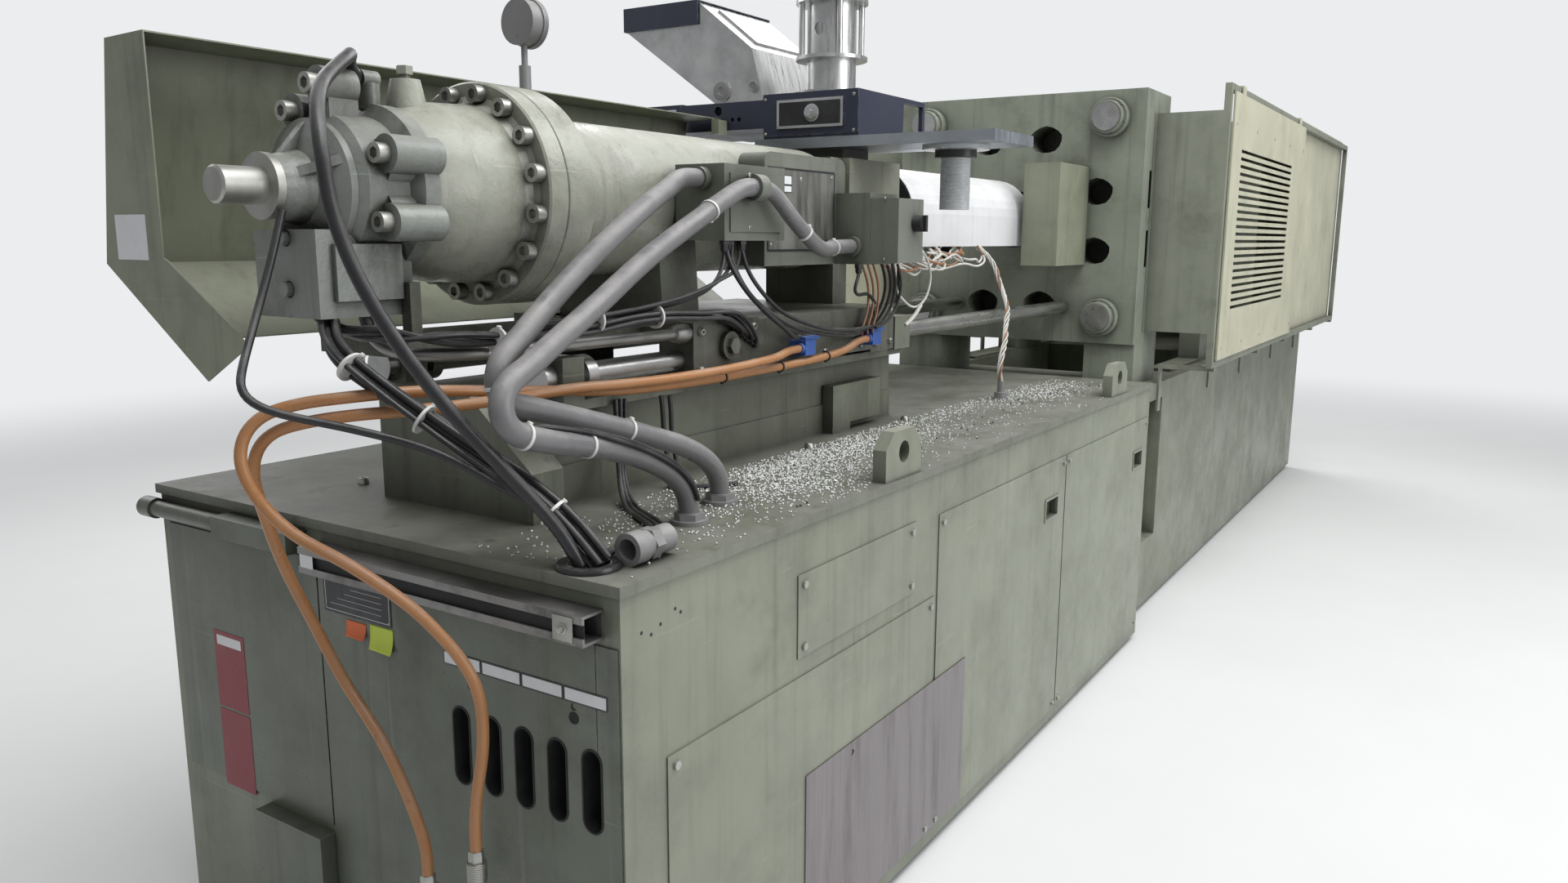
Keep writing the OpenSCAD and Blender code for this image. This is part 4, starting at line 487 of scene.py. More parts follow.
    PLATE_WHITE = Print("label_white", (0.72, 0.73, 0.75), 0.35, 0.25)
    PLACARD = Print("placard_red", (0.24, 0.020, 0.030), 0.40, 0.18)
    ORANGE = Print("note_orange", (0.80, 0.17, 0.05), 0.6, 0.2)
    LIME = Print("note_lime", (0.62, 0.74, 0.08), 0.6, 0.2)
    LILAC = Print("pale_lilac", (0.50, 0.50, 0.60))
    DARK = Print("dark_inside", (0.012, 0.012, 0.013), 0.7, 0.1)
    GLASS = Glass("clear_glass")

    @cached_property
    def material(self) -> bpy.types.Material:
        """The finish's material, built when it is first asked for."""
        return self.value.build()


def dress(finishes: dict[Finish, str]) -> None:
    """Gives carried-over solids their finishes.

    Args:
        finishes: for each finish, the names of its solids.
    """
    for finish, names in finishes.items():
        for name in names.split():
            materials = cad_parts[name].data.materials
            materials.clear()
            materials.append(finish.material)


def smooth_route(points: object, step: float = 0.01, passes: int = 8) -> Array:
    """A smooth curve through given points.

    Each stretch is a cubic whose ends follow the neighbouring points, with its slope set by the
    distances between them, and the curve is then cut into equal steps. Last, each inner point
    moves halfway to the middle of its neighbours, a few times over, which loosens the bends.

    Args:
        points: the route's points in the machine's own measure.
        step: the length of one step.
        passes: how many times the points are eased.

    Returns:
        The curve's points in the frame.
    """
    p = placed(points)
    gap = np.linalg.norm(np.diff(p, axis=0), axis=1)
    w = gap[:, None]
    chord = np.diff(p, axis=0) / w
    slope = np.empty_like(p)
    slope[1:-1] = (chord[:-1] * w[1:] + chord[1:] * w[:-1]) / (w[:-1] + w[1:])
    slope[0], slope[-1] = chord[0], chord[-1]
    t = np.linspace(0, 1, 25)[None, :-1, None]
    start, end = p[:-1, None], p[1:, None]
    away, towards = slope[:-1, None] * gap[:, None, None], slope[1:, None] * gap[:, None, None]
    fine = (2 * t**3 - 3 * t**2 + 1) * start + (t**3 - 2 * t**2 + t) * away
    fine = fine + (3 * t**2 - 2 * t**3) * end + (t**3 - t**2) * towards
    fine = np.concatenate([fine.reshape(-1, 3), p[-1:]])
    run = np.concatenate([[0], np.cumsum(np.linalg.norm(np.diff(fine, axis=0), axis=1))])
    at = np.linspace(0, run[-1], max(int(run[-1] / step), 4))
    path = np.stack([np.interp(at, run, fine[:, k]) for k in range(3)], -1)
    for _ in range(passes):
        path[1:-1] = 0.25 * path[:-2] + 0.5 * path[1:-1] + 0.25 * path[2:]
    return path


def sideways(ahead: Array) -> Array:
    """A direction square to another, level unless that one stands upright."""
    start = np.array([0.0, 0.0, 1.0]) if abs(ahead[2]) < 0.9 else np.array([1.0, 0.0, 0.0])
    return unit(np.cross(ahead, start))


def carried_axes(path: Array) -> tuple[Array, Array]:
    """Two axes across a path, carried along it without twisting.

    Args:
        path: the path's points.

    Returns:
        The two axes at each point.
    """
    ahead = unit(np.gradient(path, axis=0))
    side = np.empty_like(path)
    side[0] = sideways(ahead[0])
    for i in range(1, len(path)):
        side[i] = unit(side[i - 1] - ahead[i] * (side[i - 1] @ ahead[i]))
    return side, np.cross(ahead, side)


def rounded(width: float, height: float, radius: float, steps: int = 5) -> Array:
    """The outline of a rectangle with a quarter circle at each corner.

    Args:
        width: its first measure.
        height: its second measure.
        radius: the radius of its corners.
        steps: the number of points on each corner.

    Returns:
        The outline as n by 2 points.
    """
    a = np.linspace(0, math.pi / 2, steps)
    arc = np.stack([np.cos(a), np.sin(a)], -1) * radius
    hw, hh = width / 2 - radius, height / 2 - radius
    corner = [(hw, hh, arc), (-hw, hh, arc[::-1] * (-1, 1)), (-hw, -hh, -arc), (hw, -hh, arc[::-1] * (1, -1))]
    return np.concatenate([c + (x, y) for x, y, c in corner])


def layered(layers: list[tuple[Array, float]], centre: object, across: Point, up: Point = UP) -> Array:
    """Outlines laid over one another, each at its own height along across times up.

    Args:
        layers: pairs of an outline, as n by 2 points, and its height.
        centre: the point in the frame that all of them count from.
        across: the direction of the outlines' first measure.
        up: the direction of their second measure.

    Returns:
        An array of rows of points.
    """
    a, b = np.asarray(across, float), np.asarray(up, float)
    out = np.cross(a, b)
    return np.stack([np.asarray(centre) + o[:, :1] * a + o[:, 1:] * b + h * out for o, h in layers])


class Surface:
    """A mesh being put together from grids, each a function of two parameters.

    Each method that adds to it gives the surface itself back.
    """

    def __init__(self) -> None:
        """Starts with no points and no faces."""
        self.points: list[Array] = []
        self.corners: list[Array] = []
        self.sizes: list[Array] = []
        self.uvs: list[Array] = []
        self.count = 0

    def add(self, points: Array, faces: Array, uv: Array | None = None) -> "Surface":
        """Adds points and faces that all have the same number of corners.

        Args:
            points: an array of n points.
            faces: an array of faces, each a row of point numbers.
            uv: an array of a pair for each corner of each face, or None.

        Returns:
            The surface itself.
        """
        faces = np.asarray(faces, int)
        self.points.append(np.asarray(points, float).reshape(-1, 3))
        self.corners.append((faces + self.count).ravel())
        self.sizes.append(np.full(len(faces), faces.shape[1]))
        self.uvs.append(np.zeros((faces.size, 2)) if uv is None else uv.reshape(-1, 2))
        self.count += len(self.points[-1])
        return self

    def grid(self, points: Array, around: bool = False, capped: bool = False, length: float = 1.0) -> "Surface":
        """Adds a grid of quads from an array of rows of points.

        Args:
            points: an array of rows by columns by 3.
            around: True if the last column joins the first.
            capped: True to close the first and last rows with flat ends.
            length: the length that the rows stand for in the UV map.

        Returns:
            The surface itself.
        """
        rows, cols = points.shape[:2]
        last = cols if around else cols - 1
        i, j = np.meshgrid(np.arange(rows - 1), np.arange(last), indexing="ij")
        nxt = (j + 1) % cols
        quads = np.stack([i * cols + j, i * cols + nxt, (i + 1) * cols + nxt, (i + 1) * cols + j], -1)
        u = np.stack([j, j + 1, j + 1, j], -1) / last
        v = np.stack([i, i, i + 1, i + 1], -1) / max(rows - 1, 1) * length
        self.add(points, quads.reshape(-1, 4), np.stack([u, v], -1))
        if capped:
            self.add(points[0], np.arange(cols)[::-1][None, :])
            self.add(points[-1], np.arange(cols)[None, :])
        return self

    def tube(self, path: Array, radius: float, sides: int = 8) -> "Surface":
        """Adds a round tube: at each point of the path, a circle across it.

        Args:
            path: the tube's middle line in the frame.
            radius: its radius.
            sides: the number of sides.

        Returns:
            The surface itself.
        """
        side, up = carried_axes(path)
        angle = np.linspace(0, TURN, sides, endpoint=False)[None, :, None]
        ring = np.cos(angle) * side[:, None] + np.sin(angle) * up[:, None]
        length = float(np.linalg.norm(np.diff(path, axis=0), axis=1).sum())
        return self.grid(path[:, None] + radius * ring, True, True, length)

    def cable(self, points: object, radius: float, sides: int = 8, step: float = 0.01,
              passes: int = 8) -> "Surface":
        """Adds a tube along the smooth route through points in the machine's own measure."""
        return self.tube(smooth_route(points, step, passes), radius, sides)

    def strand(self, middle: Array, away: object, turn: Array, radius: float, sides: int) -> "Surface":
        """Adds a tube that winds round a path, at a distance and an angle for each of its points."""
        side, up = carried_axes(middle)
        return self.tube(middle + away * (np.cos(turn) * side + np.sin(turn) * up), radius, sides)

    def turned(self, profile: list[tuple[float, float]], centre: object, axis: Array | Point,
               sides: int = 32) -> "Surface":
        """Adds a turned body: a profile of distance along the axis and radius, spun about the axis.

        Args:
            profile: pairs of distance along the axis and radius, from one end to the other.
            centre: the point in the frame that the distances count from.
            axis: the axis's direction.
            sides: the number of sides.

        Returns:
            The surface itself.
        """
        ahead = unit(np.asarray(axis, float))
        side = sideways(ahead)
        angle = np.linspace(0, TURN, sides, endpoint=False)[:, None]
        along, radius = np.asarray(profile, float).T
        ring = np.cos(angle) * side + np.sin(angle) * np.cross(ahead, side)
        points = np.asarray(centre) + along[:, None, None] * ahead + radius[:, None, None] * ring[None]
        return self.grid(points, True, True)

    def plate(self, outline: Array, centre: object, across: Point, thick: float, chamfer: float = 0.0,
              up: Point = UP) -> "Surface":
        """Adds a flat plate: an outline raised by its thickness, with its front edge broken.

        Args:
            outline: n by 2 points round its middle.
            centre: the middle of its back in the frame.
            across: the direction of the outline's first measure.
            thick: the plate's thickness, raised along across times up.
            chamfer: the size of the broken edge.
            up: the direction of the outline's second measure.

        Returns:
            The surface itself.
        """
        inner = outline * (1 - chamfer / np.abs(outline).max(0))
        layers = [(outline, 0.0), (outline, thick - chamfer), (inner, thick)]
        return self.grid(layered(layers, centre, across, up), True, True)

    def block(self, low: Point, high: Point, chamfer: float) -> "Surface":
        """Adds a block: its outline rises from the base and draws in at both ends.

        Args:
            low: its lowest corner in the machine's own measure.
            high: its highest corner in the machine's own measure.
            chamfer: the size of its broken edges.

        Returns:
            The surface itself.
        """
        size = np.asarray(high, float) - low
        full = rounded(size[0], size[1], chamfer, 3)
        drawn = rounded(size[0] - 2 * chamfer, size[1] - 2 * chamfer, chamfer, 3)
        half = 0.5 * size[2]
        layers = [(drawn, -half), (full, chamfer - half), (full, half - chamfer), (drawn, half)]
        middle = placed((np.asarray(high, float) + low) / 2)
        return self.grid(layered(layers, middle, FORWARD, (0, 1, 0)), True, True)

    def screws(self, places: object, axis: Point, head: Head) -> "Surface":
        """Adds domed heads: each one's profile rises, draws in and sinks into a socket.

        Args:
            places: the heads' seats in the frame.
            axis: the direction that they face.
            head: their size.

        Returns:
            The surface itself.
        """
        radius, height, sides = head.value
        profile = [(-0.0005, radius), (height * 0.6, radius), (height, radius * 0.72), (height, radius * 0.42),
                   (height * 0.35, radius * 0.36)]
        for at in places:
            self.turned(profile, at, axis, sides)
        return self

    def scattered(self, centres: Array, size: Array, seed: int) -> "Surface":
        """Adds small grains: one eight-sided grain repeated at each centre, each turned its own way.

        Args:
            centres: n points in the frame.
            size: n radii.
            seed: the number that sets how they lie.

        Returns:
            The surface itself.
        """
        luck = np.random.default_rng(seed)
        shape = np.array([(1, 0, 0), (0, 1, 0), (-1, 0, 0), (0, -1, 0), (0, 0, 0.8), (0, 0, -0.8)], float)
        faces = np.array([(0, 1, 4), (1, 2, 4), (2, 3, 4), (3, 0, 4), (1, 0, 5), (2, 1, 5), (3, 2, 5), (0, 3, 5)])
        w, x, y, z = unit(luck.normal(size=(len(centres), 4))).T
        turn = np.stack([
            np.stack([1 - 2 * (y * y + z * z), 2 * (x * y - z * w), 2 * (x * z + y * w)], -1),
            np.stack([2 * (x * y + z * w), 1 - 2 * (x * x + z * z), 2 * (y * z - x * w)], -1),
            np.stack([2 * (x * z - y * w), 2 * (y * z + x * w), 1 - 2 * (x * x + y * y)], -1)], 1)
        points = centres[:, None] + np.einsum("nij,kj->nki", turn, shape) * size[:, None, None]
        all_faces = faces[None] + (np.arange(len(centres)) * len(shape))[:, None, None]
        return self.add(points, all_faces.reshape(-1, 3))

    def ties(self, path: Array, shares: tuple[float, ...], radius: float, width: float = 0.006) -> "Surface":
        """Adds cable ties: thin flat bands round a path, each with its lock beside it.

        Args:
            path: the path they are tied round.
            shares: how far along the path each sits, from 0 to 1.
            radius: the radius of what they hold.
            width: the bands' width.

        Returns:
            The surface itself.
        """
        thick, lock = 0.0016, rounded(0.009, 0.008, 0.002)
        half, outer, inner = width / 2, radius + thick, radius - 0.002
        for share in shares:
            i = int(share * (len(path) - 3)) + 1
            ahead = unit(path[i + 1] - path[i - 1])
            side = unit(np.cross(ahead, (0.3, 1.0, 0.2)))
            self.turned([(-half, inner), (-half, outer), (half, outer), (half, inner)], path[i], ahead, 24)
            self.plate(lock, path[i] + side * (radius - 0.001), ahead, 0.006, 0.001, np.cross(side, ahead))
        return self

    def piece(self, name: str, finish: Finish, body: Body | None, slot: Slot,
              sharp: float = 35.0) -> bpy.types.Object:
        """Makes the mesh an object that rides on a body.

        Args:
            name: the piece's name.
            finish: its finish.
            body: the body it rides on, or None for a piece that rides on none.
            slot: not used.
            sharp: the angle in degrees past which an edge stays sharp.

        Returns:
            The new object.
        """
        points, corners, sizes, uvs = map(np.concatenate, (self.points, self.corners, self.sizes, self.uvs))
        mesh = bpy.data.meshes.new(name)
        mesh.vertices.add(len(points))
        mesh.vertices.foreach_set("co", points.astype(np.float32).ravel())
        mesh.loops.add(len(corners))
        mesh.loops.foreach_set("vertex_index", corners.astype(np.int32))
        mesh.polygons.add(len(sizes))
        mesh.polygons.foreach_set("loop_start", (np.cumsum(sizes) - sizes).astype(np.int32))
        mesh.uv_layers.new(name="UVMap").data.foreach_set("uv", uvs.astype(np.float32).ravel())
        mesh.update(calc_edges=True)
        mesh.validate()
        mesh.shade_smooth()
        mesh.set_sharp_from_angle(angle=math.radians(sharp))
        return shown(name, mesh, finish, body)


def shown(name: str, mesh: bpy.types.Mesh, finish: Finish, body: Body | None) -> bpy.types.Object:
    """Gives a mesh its finish and makes it an object that rides on a body.

    Args:
        name: the piece's name.
        mesh: its mesh.
        finish: its finish.
        body: the body it rides on, or None for a piece that rides on none.

    Returns:
        The new object.
    """
    mesh.materials.append(finish.material)
    made = bpy.data.objects.new(name, mesh)
    bpy.context.scene.collection.objects.link(made)
    if body is not None:
        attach(made, body.value)
    log.info("%s: %d faces", name, len(mesh.polygons))
    return made


def bent(surface: Surface, name: str, finish: Finish, slot: Slot) -> bpy.types.Object:
    """A cable piece that rides on no body, with its place baked into its mesh."""
    made = surface.piece(name, finish, None, slot)
    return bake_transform(made)


@dataclass
class Studio:
    """The camera, the pale floor and the soft light."""

    eye: Point = (-1.296, -1.830, 1.600)
    focal: float = 25.688
    yaw: float = 32.814
    dip: float = 10.318
    roll: float = 0.318
    pale: Colour = (0.97, 0.985, 1.0)
    bright: float = 0.86
    indoors: float = 0.36
    reach: float = 60.0
    fade: tuple[float, float] = (4.6, 10.5)
    lamps: tuple[tuple[str, Point, Point, float, float], ...] = (
        ("ceiling_rear", (-3.0, -1.8, 5.4), (-2.6, 0, 1.2), 3.0, 165),
        ("ceiling_front", (1.5, -2.5, 5.8), (1.0, 0, 1.2), 4.0, 200),
        ("side_fill", (-1.5, -6.5, 2.8), (-1.5, 0, 1.0), 3.5, 150),
        ("far_rim", (-2.0, 5.0, 4.4), (-1.5, 0, 1.3), 3.5, 90),
        ("clamp_end", (5.5, 3.5, 5.6), (2.5, 0, 0.8), 4.5, 210))

    def camera(self) -> None:
        """Sets the camera where the photograph was taken from."""
        yaw, dip, roll = (math.radians(a) for a in (self.yaw, self.dip, self.roll))
        ahead = Vector((math.cos(yaw) * math.cos(dip), math.sin(yaw) * math.cos(dip), -math.sin(dip)))
        right = Vector((math.sin(yaw), -math.cos(yaw), 0))
        up = right.cross(ahead)
        across = right * math.cos(roll) + up * math.sin(roll)
        upright = up * math.cos(roll) - right * math.sin(roll)
        lens = bpy.data.cameras.new("camera")
        lens.lens, lens.sensor_width, lens.clip_end = self.focal, 36.0, 200.0
        seat = bpy.data.objects.new("camera", lens)
        turn = Matrix((across, upright, -ahead)).transposed().to_4x4()
        seat.matrix_world = Matrix.Translation(Vector(placed(self.eye))) @ turn
        bpy.context.scene.collection.objects.link(seat)
        bpy.context.scene.camera = seat

    def floor(self) -> None:
        """A wide pale floor that keeps the machine's shadow and fades into the surround."""
        mesh = bpy.data.meshes.new("floor")
        r = self.reach
        mesh.from_pydata([(-r, -r, 0), (r, -r, 0), (r, r, 0), (-r, r, 0)], [], [(0, 1, 2, 3)])
        g = Graph(bpy.data.materials.new("floor"))
        point = g.node("TexCoord").outputs["Object"]
        far = g.node("VectorMath", {0: point}, operation="LENGTH").outputs["Value"]
        share = g.times(g.spread(far, *self.fade), g.node("LightPath").outputs["Is Camera Ray"])
        tone = g.mix(g.noise(0.9, 5, 0.6), (0.68, 0.69, 0.69), (0.76, 0.77, 0.77))
        glow = g.node("Emission", {"Color": self.pale, "Strength": self.bright})
        both = g.node("MixShader", {0: share, 1: g.shader.outputs[0], 2: glow.outputs[0]})
        g.feed(g.end.inputs["Surface"], both.outputs[0])
        mesh.materials.append(g.done(Base_Color=tone, Roughness=0.75))
        ground = bpy.data.objects.new("floor", mesh)
        bpy.context.scene.collection.objects.link(ground)

    def sky(self) -> None:
        """An even pale surround, brightest to the camera and through clear pieces."""
        bpy.context.scene.world = bpy.data.worlds.new("surround")
        g = Graph(bpy.context.scene.world, "Background", "OutputWorld")
        path = g.node("LightPath").outputs
        seen = g.node("Math", {0: path["Is Camera Ray"], 1: path["Is Transmission Ray"]}, operation="MAXIMUM")
        level = g.node("MapRange", {"Value": seen.outputs[0], "To Min": self.indoors, "To Max": self.bright})
        g.done(Color=self.pale, Strength=level.outputs[0])

    def light(self) -> None:
        """The soft square lamps: each has a place, a point that it faces, a side and a power in watts."""
        for name, at, to, size, power in self.lamps:
            lamp = bpy.data.lights.new(name, "AREA")
            lamp.size, lamp.energy = size, power
            seat = bpy.data.objects.new(name, lamp)
            seat.location = at
            seat.rotation_euler = (Vector(to) - Vector(at)).to_track_quat("-Z", "Y").to_euler()
            bpy.context.scene.collection.objects.link(seat)

    def build(self) -> None:
        """Makes the camera, floor, surround and lamps."""
        self.camera()
        self.floor()
        self.sky()
        self.light()
        bpy.context.scene.view_settings.view_transform = "Standard"
        log.info("studio ready")


@dataclass
class AirHoses:
    """The two brown air hoses that hang free over the bed's rear."""

    diameter: float = 0.021
    lengths: tuple[float, float] = (2.72, 2.34)
    ribs: int = 9
    rib_pitch: float = 0.004
    sleeve_top: float = 0.022
    band_width: float = 0.004
    routes: tuple[Route, Route] = ((
        (1.475, -0.318, 1.322), (1.440, -0.318, 1.322), (1.340, -0.326, 1.302), (1.208, -0.320, 1.290),
        (1.060, -0.314, 1.284), (0.909, -0.313, 1.282), (0.656, -0.312, 1.282), (0.391, -0.312, 1.294),
        (0.300, -0.308, 1.304), (0.130, -0.278, 1.320), (-0.010, -0.240, 1.332), (-0.122, -0.185, 1.329),
        (-0.180, -0.126, 1.318), (-0.222, -0.093, 1.300), (-0.247, -0.082, 1.268), (-0.257, -0.086, 1.228),
        (-0.252, -0.103, 1.184), (-0.226, -0.150, 1.120), (-0.180, -0.262, 1.058), (-0.128, -0.378, 0.970),
        (-0.088, -0.440, 0.862), (-0.078, -0.440, 0.750), (-0.080, -0.420, 0.650), (-0.080, -0.412, 0.590),
        (-0.080, -0.412, 0.548)), (
        (1.116, -0.318, 1.322), (1.082, -0.318, 1.322), (0.990, -0.334, 1.312), (0.909, -0.338, 1.308),
        (0.800, -0.338, 1.304), (0.656, -0.336, 1.302), (0.391, -0.336, 1.308), (0.300, -0.330, 1.312),
        (0.130, -0.300, 1.306), (-0.020, -0.256, 1.302), (-0.118, -0.190, 1.298), (-0.170, -0.126, 1.285),
        (-0.198, -0.084, 1.268), (-0.211, -0.060, 1.238), (-0.213, -0.049, 1.200), (-0.192, -0.040, 1.120),
        (-0.150, -0.022, 1.010), (-0.104, -0.020, 0.900), (-0.084, -0.070, 0.792), (-0.080, -0.180, 0.680),
        (-0.080, -0.252, 0.570), (-0.080, -0.280, 0.505), (-0.080, -0.280, 0.458)))

    def fitting(self, name: str, end: Point) -> bpy.types.Object:
        """A hose's steel end: a nut on a ribbed sleeve with an open mouth.

        Args:
            name: the fitting's name.
            end: the hose's last point in the machine's own measure.

        Returns:
            The fitting.
        """
        nut = [(0.0002, 0.0105), (0.0002, 0.0125), (0.004, 0.014), (0.0205, 0.014), (0.022, 0.0125)]
        rib = ((0.0005, 0.0175), (0.0025, 0.0175), (0.0035, 0.0160))
        ribs = [(self.sleeve_top + self.rib_pitch * i + d, r) for i in range(self.ribs) for d, r in rib]
        mouth = [(0.0615, 0.0165), (0.062, 0.012), (0.052, 0.011), (0.052, 0.004)]
        sleeve = [(0.0215, 0.012)] + ribs + mouth
        made = Surface().turned(nut, placed(end), DOWN, 6).turned(sleeve, placed(end), DOWN, 28)
        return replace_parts(made.piece(name, Finish.ZINC, Body.UNIT, Slot.STEEL), "hose_ends")

    def hose(self, name: str, route: Route, length: float, end: bpy.types.Object) -> Array:
        """One hose as a swept tube.

        Args:
            name: its solid's name.
            route: its points.
            length: not used.
            end: not used.

        Returns:
            Its middle line.
        """
        path = smooth_route(route)
        made = Surface().tube(path, self.diameter / 2, 14).piece(
            name + "_skin", Finish.AIRLINE, Body.UNIT, Slot.COPPER)
        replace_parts(made, name)
        return path

    def build(self) -> None:
        """Both hoses with their fittings and the black ties that hold them together."""
        paths = [self.hose(f"air_hose_{k}", route, length, self.fitting(f"hose_fitting_{k}", route[-1]))
                 for k, route, length in zip((1, 2), self.routes, self.lengths)]
        bands = Surface().ties(paths[0], (0.085, 0.16, 0.25), self.diameter / 2 + 0.001, self.band_width)
        bands.piece("hose_ties", Finish.BLACK, Body.UNIT, Slot.RUBBER)


@dataclass
class Wiring:
    """Conduits, motor hose and the bundle of cables between bed and injection unit."""

    conduit_d: float = 0.042
    hose_d: float = 0.024
    step: float = 0.012
    twin_away: float = 0.0262
    twin_radius: float = 0.0045
    bundle_radius: float = 0.0175
    strand_radii: tuple[float, ...] = (0.009, 0.0065, 0.0075, 0.0065, 0.0055)
    conduit_ends: Route = ((0.45, -0.46, 1.15), (0.45, -0.36, 1.62))
    hose_ends: Route = ((0.05, -0.53, 1.12), (-0.20, -0.15, 1.50))

    conduit_a: Route = (
        (0.7777, -0.255, 1.732), (0.735, -0.255, 1.732), (0.620, -0.298, 1.702), (0.448, -0.355, 1.645),
        (0.226, -0.385, 1.526), (0.070, -0.412, 1.430), (-0.005, -0.428, 1.378), (-0.006, -0.432, 1.335),
        (0.060, -0.434, 1.312), (0.205, -0.435, 1.269), (0.378, -0.442, 1.215), (0.490, -0.456, 1.172),
        (0.548, -0.468, 1.128), (0.565, -0.470, 1.096), (0.565, -0.470, 1.0723))
    conduit_b: Route = (
        (0.8657, -0.346, 1.713), (0.838, -0.346, 1.713), (0.770, -0.350, 1.690), (0.640, -0.365, 1.640),
        (0.460, -0.385, 1.568), (0.230, -0.430, 1.470), (0.040, -0.464, 1.388), (-0.052, -0.484, 1.342),
        (-0.050, -0.490, 1.298), (0.020, -0.492, 1.268), (0.192, -0.490, 1.226), (0.300, -0.500, 1.186),
        (0.372, -0.514, 1.138), (0.395, -0.520, 1.098), (0.395, -0.520, 1.0723))
    link: Route = (
        (0.9023, -0.346, 1.713), (0.926, -0.346, 1.713), (1.005, -0.372, 1.640), (1.075, -0.380, 1.592),
        (1.160, -0.360, 1.572), (1.270, -0.328, 1.576), (1.350, -0.312, 1.578), (1.3857, -0.312, 1.578))
    motor: Route = (
        (0.0845, 0.000, 1.886), (0.072, 0.000, 1.886), (0.058, -0.008, 1.903), (0.036, -0.046, 1.917),
        (0.007, -0.085, 1.911), (-0.060, -0.135, 1.878), (-0.110, -0.170, 1.850), (-0.165, -0.225, 1.800),
        (-0.190, -0.265, 1.727), (-0.192, -0.285, 1.635), (-0.176, -0.315, 1.535), (-0.150, -0.355, 1.446),
        (-0.092, -0.425, 1.314), (-0.022, -0.492, 1.196), (0.030, -0.543, 1.100), (0.044, -0.560, 1.056))
    sensor: Route = (
        (-0.122, -0.049, 1.641), (-0.138, -0.054, 1.600), (-0.170, -0.060, 1.520), (-0.215, -0.085, 1.445),
        (-0.268, -0.130, 1.380), (-0.291, -0.160, 1.352), (-0.284, -0.176, 1.336), (-0.262, -0.192, 1.324),
        (-0.175, -0.262, 1.292), (-0.070, -0.352, 1.244), (0.000, -0.436, 1.178), (0.078, -0.534, 1.102),
        (0.080, -0.554, 1.056))
    bundle: Route = (
        (-0.060, -0.062, 1.4545), (-0.060, -0.062, 1.440), (-0.084, -0.100, 1.420), (-0.104, -0.160, 1.392),
        (-0.084, -0.235, 1.342), (-0.046, -0.330, 1.278), (0.014, -0.430, 1.198), (0.058, -0.545, 1.098),
        (0.066, -0.588, 1.056))

    def conduits(self) -> None:
        """Two grey conduits from the bed's glands to the terminal box, with twin cables and ties."""
        first, second = (smooth_route(route, self.step) for route in (self.conduit_a, self.conduit_b))
        radius = self.conduit_d / 2
        skin = Surface().tube(first, radius, 20).tube(second, radius, 20)
        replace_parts(bent(skin, "conduit_skins", Finish.CONDUIT, Slot.GREY), "conduits")
        twins = Surface()
        run = second[int(len(second) * 0.69):int(len(second) * 0.985)]
        for ahead in (0.0, 0.40):
            turn = np.interp(np.linspace(0, 1, len(run)), (0, 0.14, 0.45, 1), (3.3, 1.8, 0.75, 0.10)) + ahead
            ring = np.column_stack([0 * turn, -np.cos(turn), np.sin(turn)])
            twins.tube(run + self.twin_away * ring, self.twin_radius)
        bent(twins, "twin_cables", Finish.RUBBER, Slot.RUBBER)
        ties = Surface().ties(first, (0.58, 0.80), radius + 0.001).ties(second, (0.70, 0.80, 0.12), radius + 0.001)
        bent(ties, "conduit_ties", Finish.TIE, Slot.WHITE)

    def between_boxes(self) -> None:
        """The short conduit between the boxes, with its ties."""
        path, radius = smooth_route(self.link), self.conduit_d / 2 - 0.002
        link = Surface().tube(path, radius, 20).piece("link_skin", Finish.CONDUIT, Body.UNIT, Slot.GREY)
        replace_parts(link, "link_conduit")
        rings = Surface().ties(path, (0.35, 0.78), radius + 0.0006)
        rings.piece("link_ties", Finish.TIE, Body.UNIT, Slot.WHITE)

    def hoses(self) -> None:
        """The black motor hose and the bundle of cables that drop into the bed's grommet."""
        hose = Surface().cable(self.motor, self.hose_d / 2, 16, self.step)
        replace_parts(bent(hose, "motor_hose_skin", Finish.RUBBER, Slot.RUBBER), "motor_hose")
        strands = Surface().cable(self.sensor, 0.007, 12, self.step)
        middle = smooth_route(self.bundle, self.step)
        share = np.linspace(0, 1, len(middle))[:, None]
        for k, radius in enumerate(self.strand_radii):
            away = self.bundle_radius - 0.002 * np.cos(9 * share + k) if k else 0.0
            strands.strand(middle, away, 1.3 * k + 1.6 * share, radius, 12)
        made = bent(strands, "cable_strands", Finish.RUBBER, Slot.RUBBER)
        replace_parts(made, "cable_bundle")
        ties = Surface().ties(middle, (0.22, 0.46, 0.84), 0.026, 0.005)
        bent(ties, "bundle_ties", Finish.TIE, Slot.WHITE)

    def build(self) -> None:
        """All wiring."""
        self.conduits()
        self.between_boxes()
        self.hoses()


